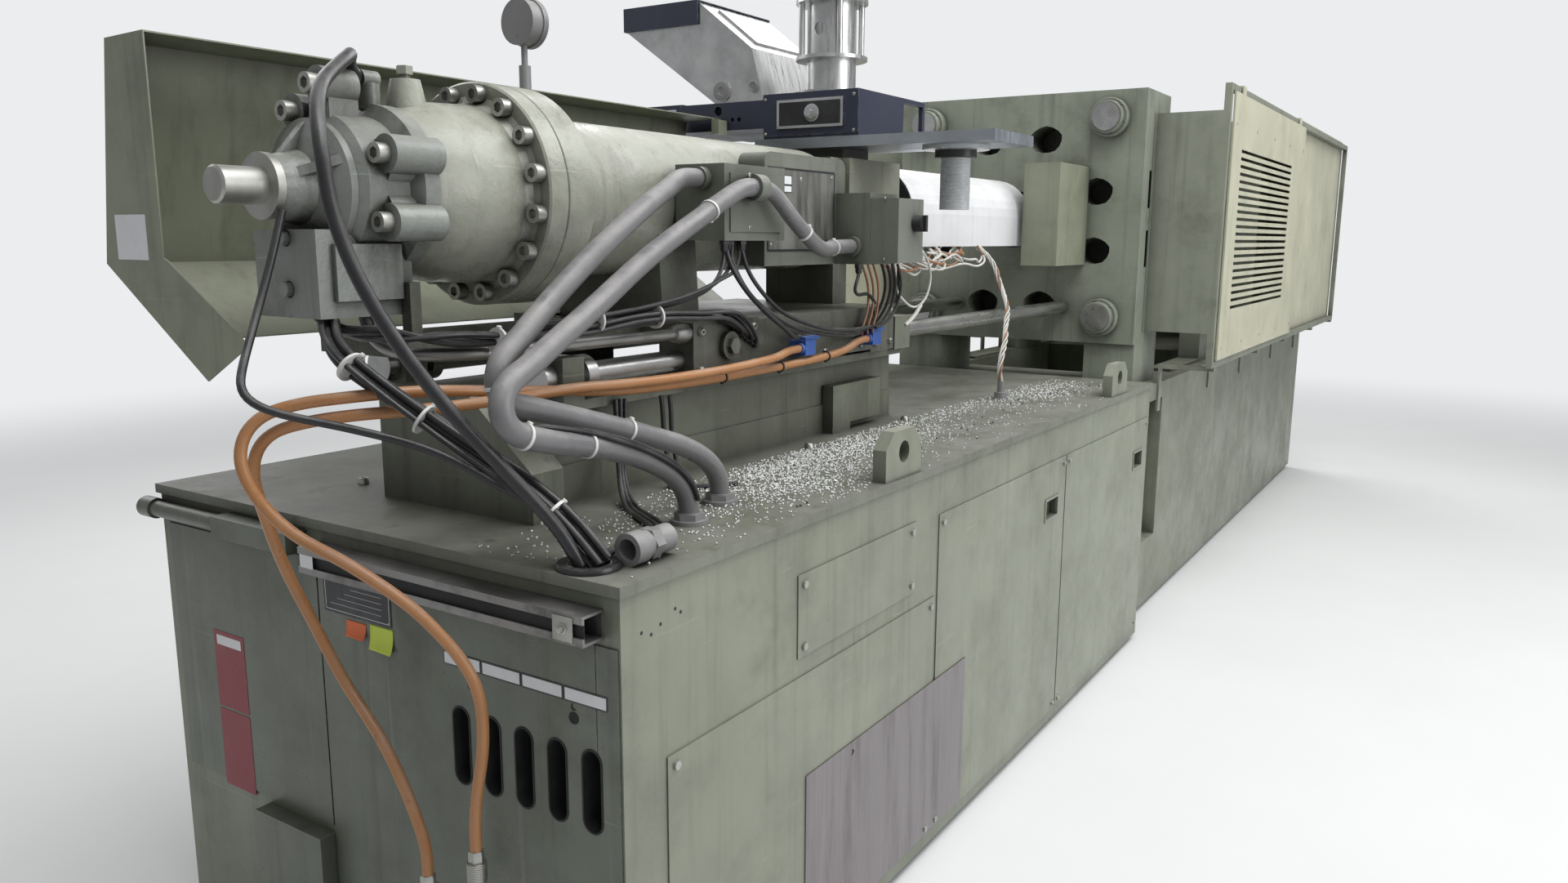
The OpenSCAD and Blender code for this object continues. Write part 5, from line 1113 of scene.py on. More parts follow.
@dataclass
class Bed:
    """The bed with its covers, channel, plates and the pellets spilt on its deck."""

    face: float = 0.005
    deck: float = 1.05
    lift: float = 0.0012
    print_thick: float = 0.0003
    vents: int = 5
    vent_pitch: float = 0.080
    vent_depth: float = 0.050
    vent_at: tuple[float, float] = (-0.610, 0.676)
    placard_y: float = 0.4515
    hole_radius: float = 0.0035
    grommet: tuple[float, float] = (0.060, -0.565)
    grains: int = 6500
    crumbs: int = 45
    seed: int = 7

    def on_rear(self, surface: Surface, y: tuple[float, float], z: tuple[float, float], lift: float,
                thick: float, radius: float) -> None:
        """A flat plate on the rear face.

        Args:
            surface: where the plate goes.
            y: its first and last y.
            z: its lowest and highest z.
            lift: how far its back stands off the panel.
            thick: its thickness.
            radius: the radius of its corners.
        """
        middle = placed((self.face - lift, sum(y) / 2, sum(z) / 2))
        surface.plate(rounded(y[1] - y[0], z[1] - z[0], radius), middle, NEAR, thick, 0.0002)

    def slot_shades(self) -> None:
        """Near-black linings in the five upright slots as painted shade of their depth, and black plugs in two
        holes.
        """
        mouth, inner = rounded(0.047, 0.155, 0.0234, 9), rounded(0.040, 0.148, 0.0199, 9)
        # painted shade: the slots' walls and backs are near-black for the shade inside them
        walls = [(mouth, -0.0002), (mouth, self.lift), (inner, self.lift), (inner * 0.99, -self.vent_depth)]
        slot_shades, (y, z) = Surface(), self.vent_at
        for i in range(self.vents):
            rows = layered(walls, placed((self.face, y + self.vent_pitch * i, z)), NEAR)
            slot_shades.grid(rows, True).add(rows[-1], np.arange(len(mouth))[None, :])
        plug = [(-0.0005, 0.011), (0.001, 0.011), (0.0012, 0.008), (0.0004, 0.007)]
        for y in (-0.572, -0.323):
            slot_shades.turned(plug, placed((self.face, y, 0.80)), REARWARD, 20)
        slot_shades.piece("vent_slot_shades", Finish.DARK, Body.MACHINE, Slot.BLACK)

    def plates(self) -> None:
        """The blank nameplate and label strips of the rear face."""
        black, white, borders = Surface(), Surface(), Surface()
        self.on_rear(black, (-0.108, 0.096), (0.865, 0.951), 0.0, self.lift, 0.003)
        lines = [((-0.103, 0.091), (z, z + 0.0012)) for z in (0.8705, 0.9445)]
        lines += [((y, y + 0.0012), (0.8705, 0.9457)) for y in (-0.103, 0.0898)]
        rows = enumerate((0.884, 0.896, 0.908, 0.920, 0.932))
        lines += [((-0.080, 0.076 - 0.022 * i), (z, z + 0.0008)) for i, z in rows]
        for y, z in lines:
            self.on_rear(white, y, z, self.lift, self.print_thick, 0.0003)
        rivets = product((self.face - self.lift,), (-0.100, 0.088), (0.8735, 0.9425))
        heads = Surface().screws(placed(list(rivets)), REARWARD, Head.RIVET)
        black.piece("blank_nameplate", Finish.PLATE_BLACK, Body.MACHINE, Slot.BLACK)
        heads.piece("nameplate_rivets", Finish.ZINC, Body.MACHINE, Slot.STEEL)
        for y in (-0.649, -0.549, -0.449, -0.349):
            self.on_rear(borders, (y, y + 0.0985), (0.828, 0.855), 0.0, 0.0010, 0.002)
            self.on_rear(white, (y + 0.003, y + 0.0955), (0.831, 0.852), 0.0010, self.print_thick, 0.001)
        borders.piece("label_borders", Finish.PLATE_BLACK, Body.MACHINE, Slot.BLACK)
        white.piece("blank_labels", Finish.PLATE_WHITE, Body.MACHINE, Slot.WHITE)

    def notes(self) -> None:
        """Two coloured notes that curl away from the rear face towards their lower edge."""
        u, v = np.meshgrid(np.linspace(0, 1, 9), np.linspace(0, 1, 13), indexing="ij")
        for name, finish, y, z in (("orange_note", Finish.ORANGE, (-0.030, 0.030), (0.826, 0.858)),
                                   ("lime_note", Finish.LIME, (-0.110, -0.042), (0.813, 0.862))):
            curl = 0.0006 + 0.010 * (1 - v) ** 3 * (0.6 + 0.4 * u)
            sheet = np.stack([self.face - curl, y[1] + (y[0] - y[1]) * u, z[0] + (z[1] - z[0]) * v], -1)
            paper = Surface().grid(placed(sheet.transpose(1, 0, 2))).piece(name, finish, Body.MACHINE, Slot.WHITE)
            wall = paper.modifiers.new("paper", "SOLIDIFY")
            wall.thickness, wall.offset = 0.0003, 0.0

    def placards(self) -> None:
        """Two bare red placards and a blank pale strip on the cabinet panel."""
        red, y = Surface(), self.placard_y
        for low, high in ((0.377, 0.560), (0.566, 0.743)):
            middle = placed((self.face, y, (low + high) / 2))
            red.plate(rounded(0.113, high - low, 0.002), middle, NEAR, 0.0008, 0.0002)
        pale = Surface().plate(rounded(0.090, 0.022, 0.001), placed((self.face - 0.0008, y, 0.722)), NEAR, 0.0003)
        red.piece("red_placards", Finish.PLACARD, Body.MACHINE, Slot.RED)
        pale.piece("placard_strip", Finish.PLATE_WHITE, Body.MACHINE, Slot.WHITE)

    def channel(self) -> None:
        """A near-black plate in the rear channel's mouth as painted shade of its inside, its clamp nut, and a blank
        sticker on its end.
        """
        # painted shade: a thin near-black plate across the channel's mouth stands for its shaded inside
        inside = Surface().block((-0.0372, -0.640, 0.9592), (-0.0350, 0.100, 0.9990), 0.0005)
        inside.piece("channel_mouth_shade", Finish.DARK, Body.MACHINE, Slot.BLACK)
        line = [(-0.002, 0.011), (0.006, 0.011), (0.007, 0.009), (0.007, 0.006), (0.015, 0.006), (0.016, 0.004)]
        nut = Surface().turned(line, placed((-0.040, -0.600, 0.979)), REARWARD, 6)
        nut.block((-0.0450, -0.622, 0.958), (-0.0432, -0.578, 1.000), 0.0004)
        nut.piece("channel_nut", Finish.ZINC, Body.MACHINE, Slot.STEEL)
        label = Surface().plate(rounded(0.040, 0.026, 0.002), placed((-0.0432, 0.075, 0.979)), NEAR, 0.0005)
        label.piece("channel_sticker", Finish.PLATE_WHITE, Body.MACHINE, Slot.WHITE)

    def pellets(self) -> None:
        """Pellets spilt on the deck in drifts, and a few dark crumbs.

        Each drift is normal in x and y about its middle: x, y, the two spreads and its share.
        """
        luck = np.random.default_rng(self.seed)
        drifts = ((0.86, -0.47, 0.17, 0.085, 0.26), (1.10, -0.37, 0.26, 0.050, 0.20),
                  (1.42, -0.40, 0.26, 0.070, 0.12), (1.95, -0.34, 0.30, 0.035, 0.07),
                  (2.62, -0.42, 0.20, 0.07, 0.10), (1.60, -0.50, 0.80, 0.14, 0.10),
                  (0.42, -0.47, 0.20, 0.11, 0.06), (0.10, -0.38, 0.14, 0.12, 0.012))
        xy = np.concatenate([luck.normal(size=(int(self.grains * share), 2)) * (wide, deep) + (x, y)
                             for x, y, wide, deep, share in drifts])
        xy = xy[((xy > (0.02, -0.672)) & (xy < (3.0, -0.292))).all(1)]
        heap = 0.004 * np.exp(-(((xy[:, 0] - 1.0) / 0.3) ** 2 + ((xy[:, 1] + 0.42) / 0.08) ** 2))
        size = luck.uniform(0.0019, 0.0031, len(xy))
        z = self.deck + size * 0.7 + luck.uniform(0, 1, len(xy)) * heap
        grains = Surface().scattered(placed(np.column_stack([xy, z])), size, self.seed)
        grains.piece("spilt_pellets", Finish.PELLET, Body.MACHINE, Slot.CLEAR, 60)
        spots = luck.uniform((0.62, -0.67), (2.9, -0.30), (self.crumbs, 2))
        seats = placed(np.column_stack([spots, np.full(self.crumbs, self.deck + 0.002)]))
        chips = Surface().scattered(seats, luck.uniform(0.003, 0.005, self.crumbs), self.seed + 1)
        chips.piece("dark_crumbs", Finish.BLACK, Body.MACHINE, Slot.BLACK, 60)

    def fasteners(self) -> None:
        """The grommet's rubber ring, near-black discs on the side as painted shade of its small holes, and the
        bolts of the beam.
        """
        line = [(-0.0002, 0.0565), (0.005, 0.0570), (0.0095, 0.0545), (0.0095, 0.0400), (0.006, 0.0365),
                (-0.004, 0.0362)]
        ring = Surface().turned(line, placed((*self.grommet, self.deck)), UP, 48)
        ring.piece("grommet_ring", Finish.RUBBER, Body.MACHINE, Slot.RUBBER)
        # painted shade: each small hole is a near-black disc on the side for its shaded inside
        holes, r = Surface(), self.hole_radius
        for x, z in ((0.060, 0.955), (0.085, 0.945), (0.110, 0.956), (0.150, 0.972), (0.165, 0.962)):
            holes.turned([(-0.0004, r), (0.0002, r), (0.0003, 0.0030)], placed((x, -0.677, z)), NEAR, 12)
        holes.piece("small_hole_shades", Finish.DARK, Body.MACHINE, Slot.BLACK)
        seats = product((0.26, 0.62, 1.20, 1.76), (-0.300, 0.300), (self.deck,))
        bolts = Surface().screws(placed(list(seats)), UP, Head.BASE)
        bolts.piece("base_bolts", Finish.ZINC, Body.MACHINE, Slot.STEEL)

    def deck_cables(self) -> None:
        """Cables on the deck: two beside the beam, and three led into the grommet."""
        black = Surface()
        for k, y in enumerate((-0.302, -0.316)):
            black.cable([(0.580 + 0.012 * k, y, 1.262), (0.583 + 0.012 * k, y - 0.002, 1.240),
                         (0.586 + 0.010 * k, y, 1.200), (0.596 + 0.012 * k, y - 0.006, 1.110),
                         (0.600 + 0.014 * k, y - 0.020, 1.0585), (0.650, y - 0.050, 1.0560),
                         (0.700 + 0.02 * k, y - 0.090, 1.0560)], 0.0052)
        for k in range(3):
            black.cable([(0.478 + 0.012 * k, -0.262 - 0.003 * k, 1.262),
                         (0.474 + 0.010 * k, -0.268 - 0.002 * k, 1.180), (0.452 + 0.008 * k, -0.292, 1.100),
                         (0.405 + 0.010 * k, -0.345 - 0.004 * k, 1.0585),
                         (0.345 + 0.012 * k, -0.435 - 0.006 * k, 1.0562),
                         (0.290 + 0.008 * k, -0.515 - 0.010 * k, 1.0562),
                         (0.215, -0.552 - 0.010 * k, 1.0562), (0.140, -0.560 - 0.008 * k, 1.0690),
                         (0.106, -0.566 - 0.004 * k, 1.0690),
                         (0.086 - 0.004 * k, -0.572 + 0.004 * k, 1.046)], 0.0058 - 0.0006 * k, 10)
        black.piece("deck_cables", Finish.RUBBER, Body.MACHINE, Slot.RUBBER)

    def build(self) -> None:
        """Dresses the bed's solids and adds its fine pieces."""
        dress({Finish.BED: "bed_frame lifting_lugs", Finish.DECK: "bed_top", Finish.BASE: "injection_base",
               Finish.REAR: "rear_panel cabinet_panel", Finish.PANEL: "side_covers side_panels",
               Finish.BRUSHED: "bare_sheet", Finish.CHANNEL: "rear_channel", Finish.ZINC: "cover_screws",
               Finish.FITTING: "bed_fittings", Finish.NAVY: "levelling_pads"})
        self.slot_shades()
        self.plates()
        self.notes()
        self.placards()
        self.channel()
        self.pellets()
        self.fasteners()
        self.deck_cables()


@dataclass
class InjectionUnit:
    """Carriage, cylinder, motor, barrel and boxes."""

    axis_z: float = 1.683
    block_y: float = -0.285
    terminal_box_under: float = 1.5935
    heater_box_under: float = 1.5305
    dial_start: float = 225
    dial_sweep: float = 270
    ticks: int = 40
    ticks_a_figure: int = 8
    wire_count: int = 16
    twisted_wires: int = 5
    seed: int = 11

    def dial(self) -> None:
        """The gauge's dial: a white card with ticks, plain numbers, a pointer and a glass, in its bezel."""
        low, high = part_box("gauge")
        radius = (high.y - low.y) / 2
        centre = np.array([high.x, (low.y + high.y) / 2, high.z - radius])
        card = Surface().turned([(0.0002, radius - 0.008), (0.0008, radius - 0.008)], centre, FORWARD, 48)
        card.piece("dial_card", Finish.PLATE_WHITE, Body.UNIT, Slot.WHITE)
        line = [(-0.004, radius + 0.0006), (0.003, radius + 0.0006), (0.005, radius - 0.002),
                (0.005, radius - 0.007), (0.0009, radius - 0.008)]
        bezel = Surface().turned(line, centre, FORWARD, 64)
        marks, hand = Surface(), Surface()
        ticks = [self.dial_start - self.dial_sweep * k / self.ticks for k in range(self.ticks + 1)]
        figures = ticks[::self.ticks_a_figure]
        for angle in ticks:
            away, along = self.spoke(angle)
            long, wide = (0.006, 0.0012) if angle in figures else (0.003, 0.0007)
            middle = centre + (0.0009, 0, 0) + away * (radius - 0.011 - long / 2)
            marks.plate(rounded(long, wide, 0.0002, 2), middle, away, 0.0002, up=along)
        marks.piece("dial_marks", Finish.PLATE_BLACK, Body.UNIT, Slot.BLACK)
        away, along = self.spoke(220)
        middle = centre + (0.0016, 0, 0) + away * 0.014
        hand.plate(rounded(0.044, 0.0018, 0.0008, 3), middle, away, 0.0004, up=along)
        hand.turned([(0.0012, 0.0045), (0.0028, 0.0045), (0.0032, 0.003)], centre, FORWARD, 20)
        hand.piece("dial_hand", Finish.PLATE_BLACK, Body.UNIT, Slot.BLACK)
        bezel.piece("dial_bezel", Finish.FITTING, Body.UNIT, Slot.STEEL)
        pane = Surface().turned([(0.0036, radius - 0.0075), (0.0046, radius - 0.0075)], centre, FORWARD, 48)
        pane.piece("dial_glass", Finish.GLASS, Body.UNIT, Slot.CLEAR)
        for k, angle in enumerate(figures):
            self.figure(k, centre + (0.0010, 0, 0) + self.spoke(angle)[0] * (radius - 0.023))

    @staticmethod
    def spoke(angle: float) -> tuple[Array, Array]:
        """Directions from the dial's middle at an angle in degrees, and square to that."""
        a = math.radians(angle)
        return np.array([0, math.cos(a), math.sin(a)]), np.array([0, -math.sin(a), math.cos(a)])

    @staticmethod
    def figure(k: int, place: Array) -> None:
        """One plain number on the dial, five times its own count.

        Args:
            k: its count from the dial's start.
            place: its middle in the frame.
        """
        font = bpy.data.curves.new("dial_figure", "FONT")
        font.body, font.size, font.align_x, font.align_y = str(k * 5), 0.0095, "CENTER", "CENTER"
        mesh = bpy.data.meshes.new_from_object(bpy.data.objects.new("dial_figure", font))
        turn = Matrix(((0, 0, 1), (1, 0, 0), (0, 1, 0))).to_4x4()
        mesh.transform(Matrix.Translation(Vector(place)) @ turn)
        mesh.materials.clear()
        shown(f"dial_figure_{k}", mesh, Finish.PLATE_BLACK, Body.UNIT)

    def cables(self) -> None:
        """Black cables from the boxes' undersides to the valves, and along the beam's top."""
        black = Surface()
        drops = (
            ((0.820, -0.300, 1.592), (0.822, -0.305, 1.560), (0.850, -0.322, 1.500), (0.930, -0.335, 1.430),
             (1.040, -0.335, 1.372), (1.090, -0.325, 1.350), (1.130, -0.312, 1.352)),
            ((0.850, -0.290, 1.592), (0.852, -0.295, 1.555), (0.880, -0.318, 1.480), (0.980, -0.338, 1.410),
             (1.200, -0.338, 1.356), (1.400, -0.328, 1.342), (1.490, -0.312, 1.352)),
            ((0.885, -0.300, 1.592), (0.888, -0.306, 1.550), (0.960, -0.332, 1.450), (1.140, -0.350, 1.380),
             (1.330, -0.345, 1.358), (1.480, -0.330, 1.356), (1.545, -0.312, 1.354)),
            ((1.400, -0.330, 1.529), (1.402, -0.332, 1.500), (1.372, -0.330, 1.462), (1.400, -0.326, 1.446),
             (1.470, -0.322, 1.450), (1.520, -0.318, 1.420)))
        for k, run in enumerate(drops):
            black.cable(run, 0.0062 - 0.0005 * k, 10)
        for k in range(5):
            x, y = 1.575 + 0.012 * (k % 3), -0.318 - 0.011 * k
            black.cable([(x - 0.02, y, 1.529), (x, y - 0.004, 1.480), (x - 0.004, y, 1.430),
                         (x - 0.045, y + 0.010, 1.372), (x - 0.105, y + 0.02, 1.345 + 0.002 * k)], 0.0042)
        for k in range(6):
            y, z = -0.298 - 0.010 * (k % 3), 1.418 + 0.012 * (k // 3)
            wave, ahead, drop = 0.010 * math.sin(2.1 * k), 0.018 * k, 0.009 * k
            black.cable([(-0.028 + 0.006 * k, 0.020 + 0.004 * k, 1.4552), (-0.030 + 0.006 * k, -0.010, 1.438),
                         (-0.020, -0.150 - 0.008 * k, 1.428 + wave), (0.060, -0.225 - 0.008 * k, 1.418 - wave),
                         (0.180, y + 0.010, 1.410 + 0.005 * (k % 3)), (0.330, y, z + wave / 2),
                         (0.500, y - 0.004, z + 0.006 - wave / 2), (0.700, y, z + 0.004),
                         (0.790 + 0.02 * k, y + 0.004, z - 0.004 * k), (0.862 + ahead, -0.300, 1.392 - drop),
                         (0.870 + ahead, -0.284, 1.388 - drop)], 0.0048 if k % 2 else 0.0060, 8, 0.012, 4)
        for k in range(3):
            y = -0.300 - 0.010 * k
            black.cable([(0.180, y + 0.004, 1.418 + 0.010 * k), (0.370, y, 1.434 + 0.006 * k),
                         (0.560, y, 1.450 + 0.006 * k), (0.690, y, 1.466 + 0.008 * k),
                         (0.780, y, 1.495 + 0.006 * k), (0.818 + 0.030 * k, -0.300, 1.540),
                         (0.822 + 0.030 * k, -0.298, 1.592)], 0.0046, 8, 0.012)
        black.piece("valve_cables", Finish.RUBBER, Body.UNIT, Slot.RUBBER)

    def cable_fittings(self) -> None:
        """The ties of the beam's cables, and the glands that cables enter boxes and carriage by."""
        ties = Surface()
        for x, y, z in ((0.372, -0.308, 1.437), (0.130, -0.290, 1.412), (0.560, -0.306, 1.434)):
            ties.ties(placed([(x - 0.004, y, z), (x, y, z), (x + 0.004, y, z)]), (0.5,), 0.024, 0.005)
        ties.piece("beam_cable_ties", Finish.TIE, Body.UNIT, Slot.WHITE)
        glands = Surface()
        large = [(0, 0.0125), (0.010, 0.0125), (0.011, 0.0105), (0.022, 0.0100), (0.026, 0.0072)]
        small = [(-0.001, 0.0085), (0.006, 0.0085), (0.007, 0.0078), (0.013, 0.0072)]
        seats = [(x, y, self.terminal_box_under) for x, y in ((0.820, -0.300), (0.852, -0.292), (0.887, -0.301))]
        for seat in placed(seats + [(1.400, -0.330, self.heater_box_under)]):
            glands.turned(large, seat, DOWN, 6)
        for k in range(6):
            glands.turned(small, placed((0.870 + 0.018 * k, -0.2848, 1.388 - 0.009 * k)), NEAR, 6)
        glands.piece("cable_glands", Finish.BLACK, Body.UNIT, Slot.BLACK)

    def pipes(self) -> None:
        """The oil pipe along the beam with its union, and thin brown pipes under the heater box."""
        line = Surface().cable([
            (0.030, -0.050, 1.4552), (0.030, -0.054, 1.430), (0.024, -0.100, 1.402), (0.022, -0.160, 1.391),
            (0.060, -0.225, 1.389), (0.140, -0.258, 1.389), (0.200, -0.262, 1.388), (0.450, -0.262, 1.387),
            (0.700, -0.262, 1.386), (0.724, -0.262, 1.386)], 0.0125, 16, 0.012)
        line.turned([(-0.004, 0.021), (0.012, 0.0225), (0.022, 0.0225), (0.030, 0.0205), (0.046, 0.0185),
                     (0.050, 0.0128)], placed((0.7195, -0.262, 1.386)), REARWARD, 24)
        line.piece("oil_pipe", Finish.OIL_PIPE, Body.UNIT, Slot.STEEL)
        browns = Surface()
        for k in range(3):
            y = -0.306 - 0.010 * k
            browns.cable([(1.462 + 0.014 * k, y, 1.529), (1.500 + 0.012 * k, y, 1.470),
                          (1.492 + 0.010 * k, y - 0.004, 1.400), (1.462 + 0.012 * k, y - 0.002, 1.335),
                          (1.480 + 0.012 * k, y + 0.002, 1.318)], 0.0034, 8, 0.008)
        browns.piece("thin_brown_pipes", Finish.COPPER, Body.UNIT, Slot.COPPER)

    def wires(self) -> None:
        """The heater wires: a tangle of woven sleeves under the barrel's cover, and one loose loop.

        Each wire of the tangle runs ahead by uneven steps and sags by half a sine wave.
        """
        luck = np.random.default_rng(self.seed)
        pale, dark = Surface(), Surface()
        for k in range(self.wire_count):
            n = int(luck.integers(6, 9))
            x0 = luck.uniform(1.72, 2.25)
            x = x0 + np.sort(luck.uniform(0, 1, n)) * luck.uniform(0.25, 0.60) + luck.normal(0, 0.012, n)
            y = -0.150 - 0.075 * np.sin(np.linspace(0, math.pi, n)) * luck.uniform(0.2, 1.0)
            y += luck.normal(0, 0.012, n)
            z = 1.548 - 0.055 * np.sin(np.linspace(0.2, math.pi, n)) * luck.uniform(0, 1.2)
            z += luck.normal(0, 0.010, n)
            z[-1], y[-1] = 1.578, -0.128
            (pale if k % 4 else dark).cable(np.column_stack([x, y, z]), luck.uniform(0.0028, 0.0046), 7, 0.012)
        pale.cable([(1.560, -0.330, 1.529), (1.693, -0.345, 1.575), (1.790, -0.345, 1.545), (1.835, -0.340, 1.480),
                    (1.800, -0.340, 1.420), (1.739, -0.340, 1.398), (1.650, -0.345, 1.420), (1.575, -0.352, 1.470),
                    (1.590, -0.345, 1.515), (1.660, -0.300, 1.535), (1.760, -0.220, 1.545), (1.900, -0.170, 1.552)],
                   0.0036)
        pale.cable([(1.66, -0.345, 1.350), (1.71, -0.350, 1.375), (1.75, -0.350, 1.405)], 0.0055)
        pale.piece("heater_wires", Finish.WIRE, Body.UNIT, Slot.WHITE)
        dark.piece("brown_heater_wires", Finish.COPPER, Body.UNIT, Slot.COPPER)

    def hanging_wires(self) -> None:
        """The twisted heater wires from the cover's front end down to the stub on the deck."""
        middle = smooth_route([(2.620, -0.150, 1.575), (2.640, -0.190, 1.530), (2.640, -0.235, 1.450),
                               (2.560, -0.300, 1.350), (2.440, -0.345, 1.260), (2.372, -0.360, 1.180),
                               (2.366, -0.362, 1.130), (2.377, -0.362, 1.1125)], 0.008)
        share = np.linspace(0, 1, len(middle))[:, None]
        pale, dark = Surface(), Surface()
        for k in range(self.twisted_wires):
            away = 0.0062 * (1 + 0.5 * np.sin(7 * share + k))
            turn = k * TURN / self.twisted_wires + 26 * share
            (pale if k else dark).strand(middle, away, turn, 0.0030, 7)
        bent(pale, "hanging_wires", Finish.WIRE, Slot.WHITE)
        bent(dark, "hanging_dark_wire", Finish.COPPER, Slot.WHITE)

    def boxes(self) -> None:
        """Corner screws, the gasket's edge and a blank plate of the electric boxes."""
        heads = Surface()
        heads.screws(placed(list(product((1.080, 1.376), (-0.2562,), (1.582, 1.758)))), NEAR, Head.BOX)
        heads.screws(placed(list(product((0.806, 1.022), (-0.3792,), (1.621, 1.737)))), NEAR, Head.BOX)
        corners = [(x, y, z) for x, y in ((1.400, -0.407), (1.546, -0.4072)) for z in (1.545, 1.705)]
        heads.screws(placed(corners), NEAR, Head.HEATER_BOX)
        heads.piece("box_screws", Finish.ZINC, Body.UNIT, Slot.STEEL)
        outer, inner, thick = rounded(0.328, 0.208, 0.006), rounded(0.318, 0.198, 0.004), 0.0012
        walls = [(outer, 0.0), (outer, thick), (inner, thick), (inner, 0.0)]
        gasket = Surface().grid(layered(walls, placed((1.228, -0.2552, 1.670)), FORWARD), True)
        gasket.piece("cover_gasket", Finish.BLACK, Body.UNIT, Slot.RUBBER)
        border = Surface().plate(rounded(0.050, 0.044, 0.001), placed((1.150, -0.2562, 1.735)), FORWARD, 0.0005)
        label = Surface()
        for high, z in ((0.020, 1.744), (0.014, 1.722)):
            label.plate(rounded(0.044, high, 0.001), placed((1.150, -0.2567, z)), FORWARD, 0.0003)
        border.piece("box_plate", Finish.PLATE_BLACK, Body.UNIT, Slot.BLACK)
        label.piece("box_plate_panels", Finish.PLATE_WHITE, Body.UNIT, Slot.WHITE)

    def bolts(self) -> None:
        """Socket screws on the carriage's blocks and on the plate between them."""
        blocks = product((0.745, 0.955, 1.585, 1.675), (self.block_y,), (1.300, 1.388))
        between = product((1.010, 1.300, 1.500), (self.block_y,), (1.300,))
        heads = Surface().screws(placed(list(blocks)), NEAR, Head.BLOCK)
        heads.screws(placed(list(between)), NEAR, Head.CARRIAGE)
        heads.piece("block_screws", Finish.ZINC, Body.UNIT, Slot.STEEL)

    def guard(self) -> None:
        """A blank sticker on the guard's rear strip."""
        at = (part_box("far_guard")[0].x - 0.0001, 0.420, 1.594)
        sticker = Surface().plate(rounded(0.110, 0.086, 0.002), at, NEAR, 0.0005)
        sticker.piece("guard_sticker", Finish.PLATE_WHITE, Body.UNIT, Slot.WHITE)

    def insulation(self) -> None:
        """The dark insulation in the open rear end of the barrel's cover: a wavy ring, open below."""
        angle = np.linspace(-0.62, math.pi + 0.62, 40)
        wave = 1 + 0.02 * np.sin(9 * angle)
        section = ((2.0815, 0.100), (2.0790, 0.148), (2.0990, 0.148), (2.0990, 0.100), (2.0815, 0.100))
        rows = [np.column_stack([np.full(40, x), r * wave * np.cos(angle), self.axis_z + r * wave * np.sin(angle)])
                for x, r in section]
        ring = Surface().grid(placed(np.stack(rows)))
        ring.piece("end_insulation", Finish.DARK, Body.UNIT, Slot.BLACK)

    def build(self) -> None:
        """Dresses the unit's solids and adds its fine pieces."""
        dress({Finish.GREASY: "carriage", Finish.ROD: "guide_rods", Finish.FITTING: "gauge",
               Finish.CYLINDER: "injection_cylinder cylinder_head",
               Finish.MOTOR: "motor_case motor_cover", Finish.ZINC: "cap_screws shaft_cap",
               Finish.SHEET: "far_guard purge_guard", Finish.BARREL: "barrel", Finish.WHITE: "barrel_cover",
               Finish.CASTING: "feed_throat", Finish.BOX: "terminal_box gland_box heater_box",
               Finish.DULL: "heater_box_cover", Finish.BLACK: "switch_knob", Finish.BLUE: "hose_couplings",
               Finish.POLISHED: "injection_piston screw"})
        self.dial()
        self.cables()
        self.cable_fittings()
        self.pipes()
        self.wires()
        self.hanging_wires()
        self.boxes()
        self.bolts()
        self.guard()
        self.insulation()


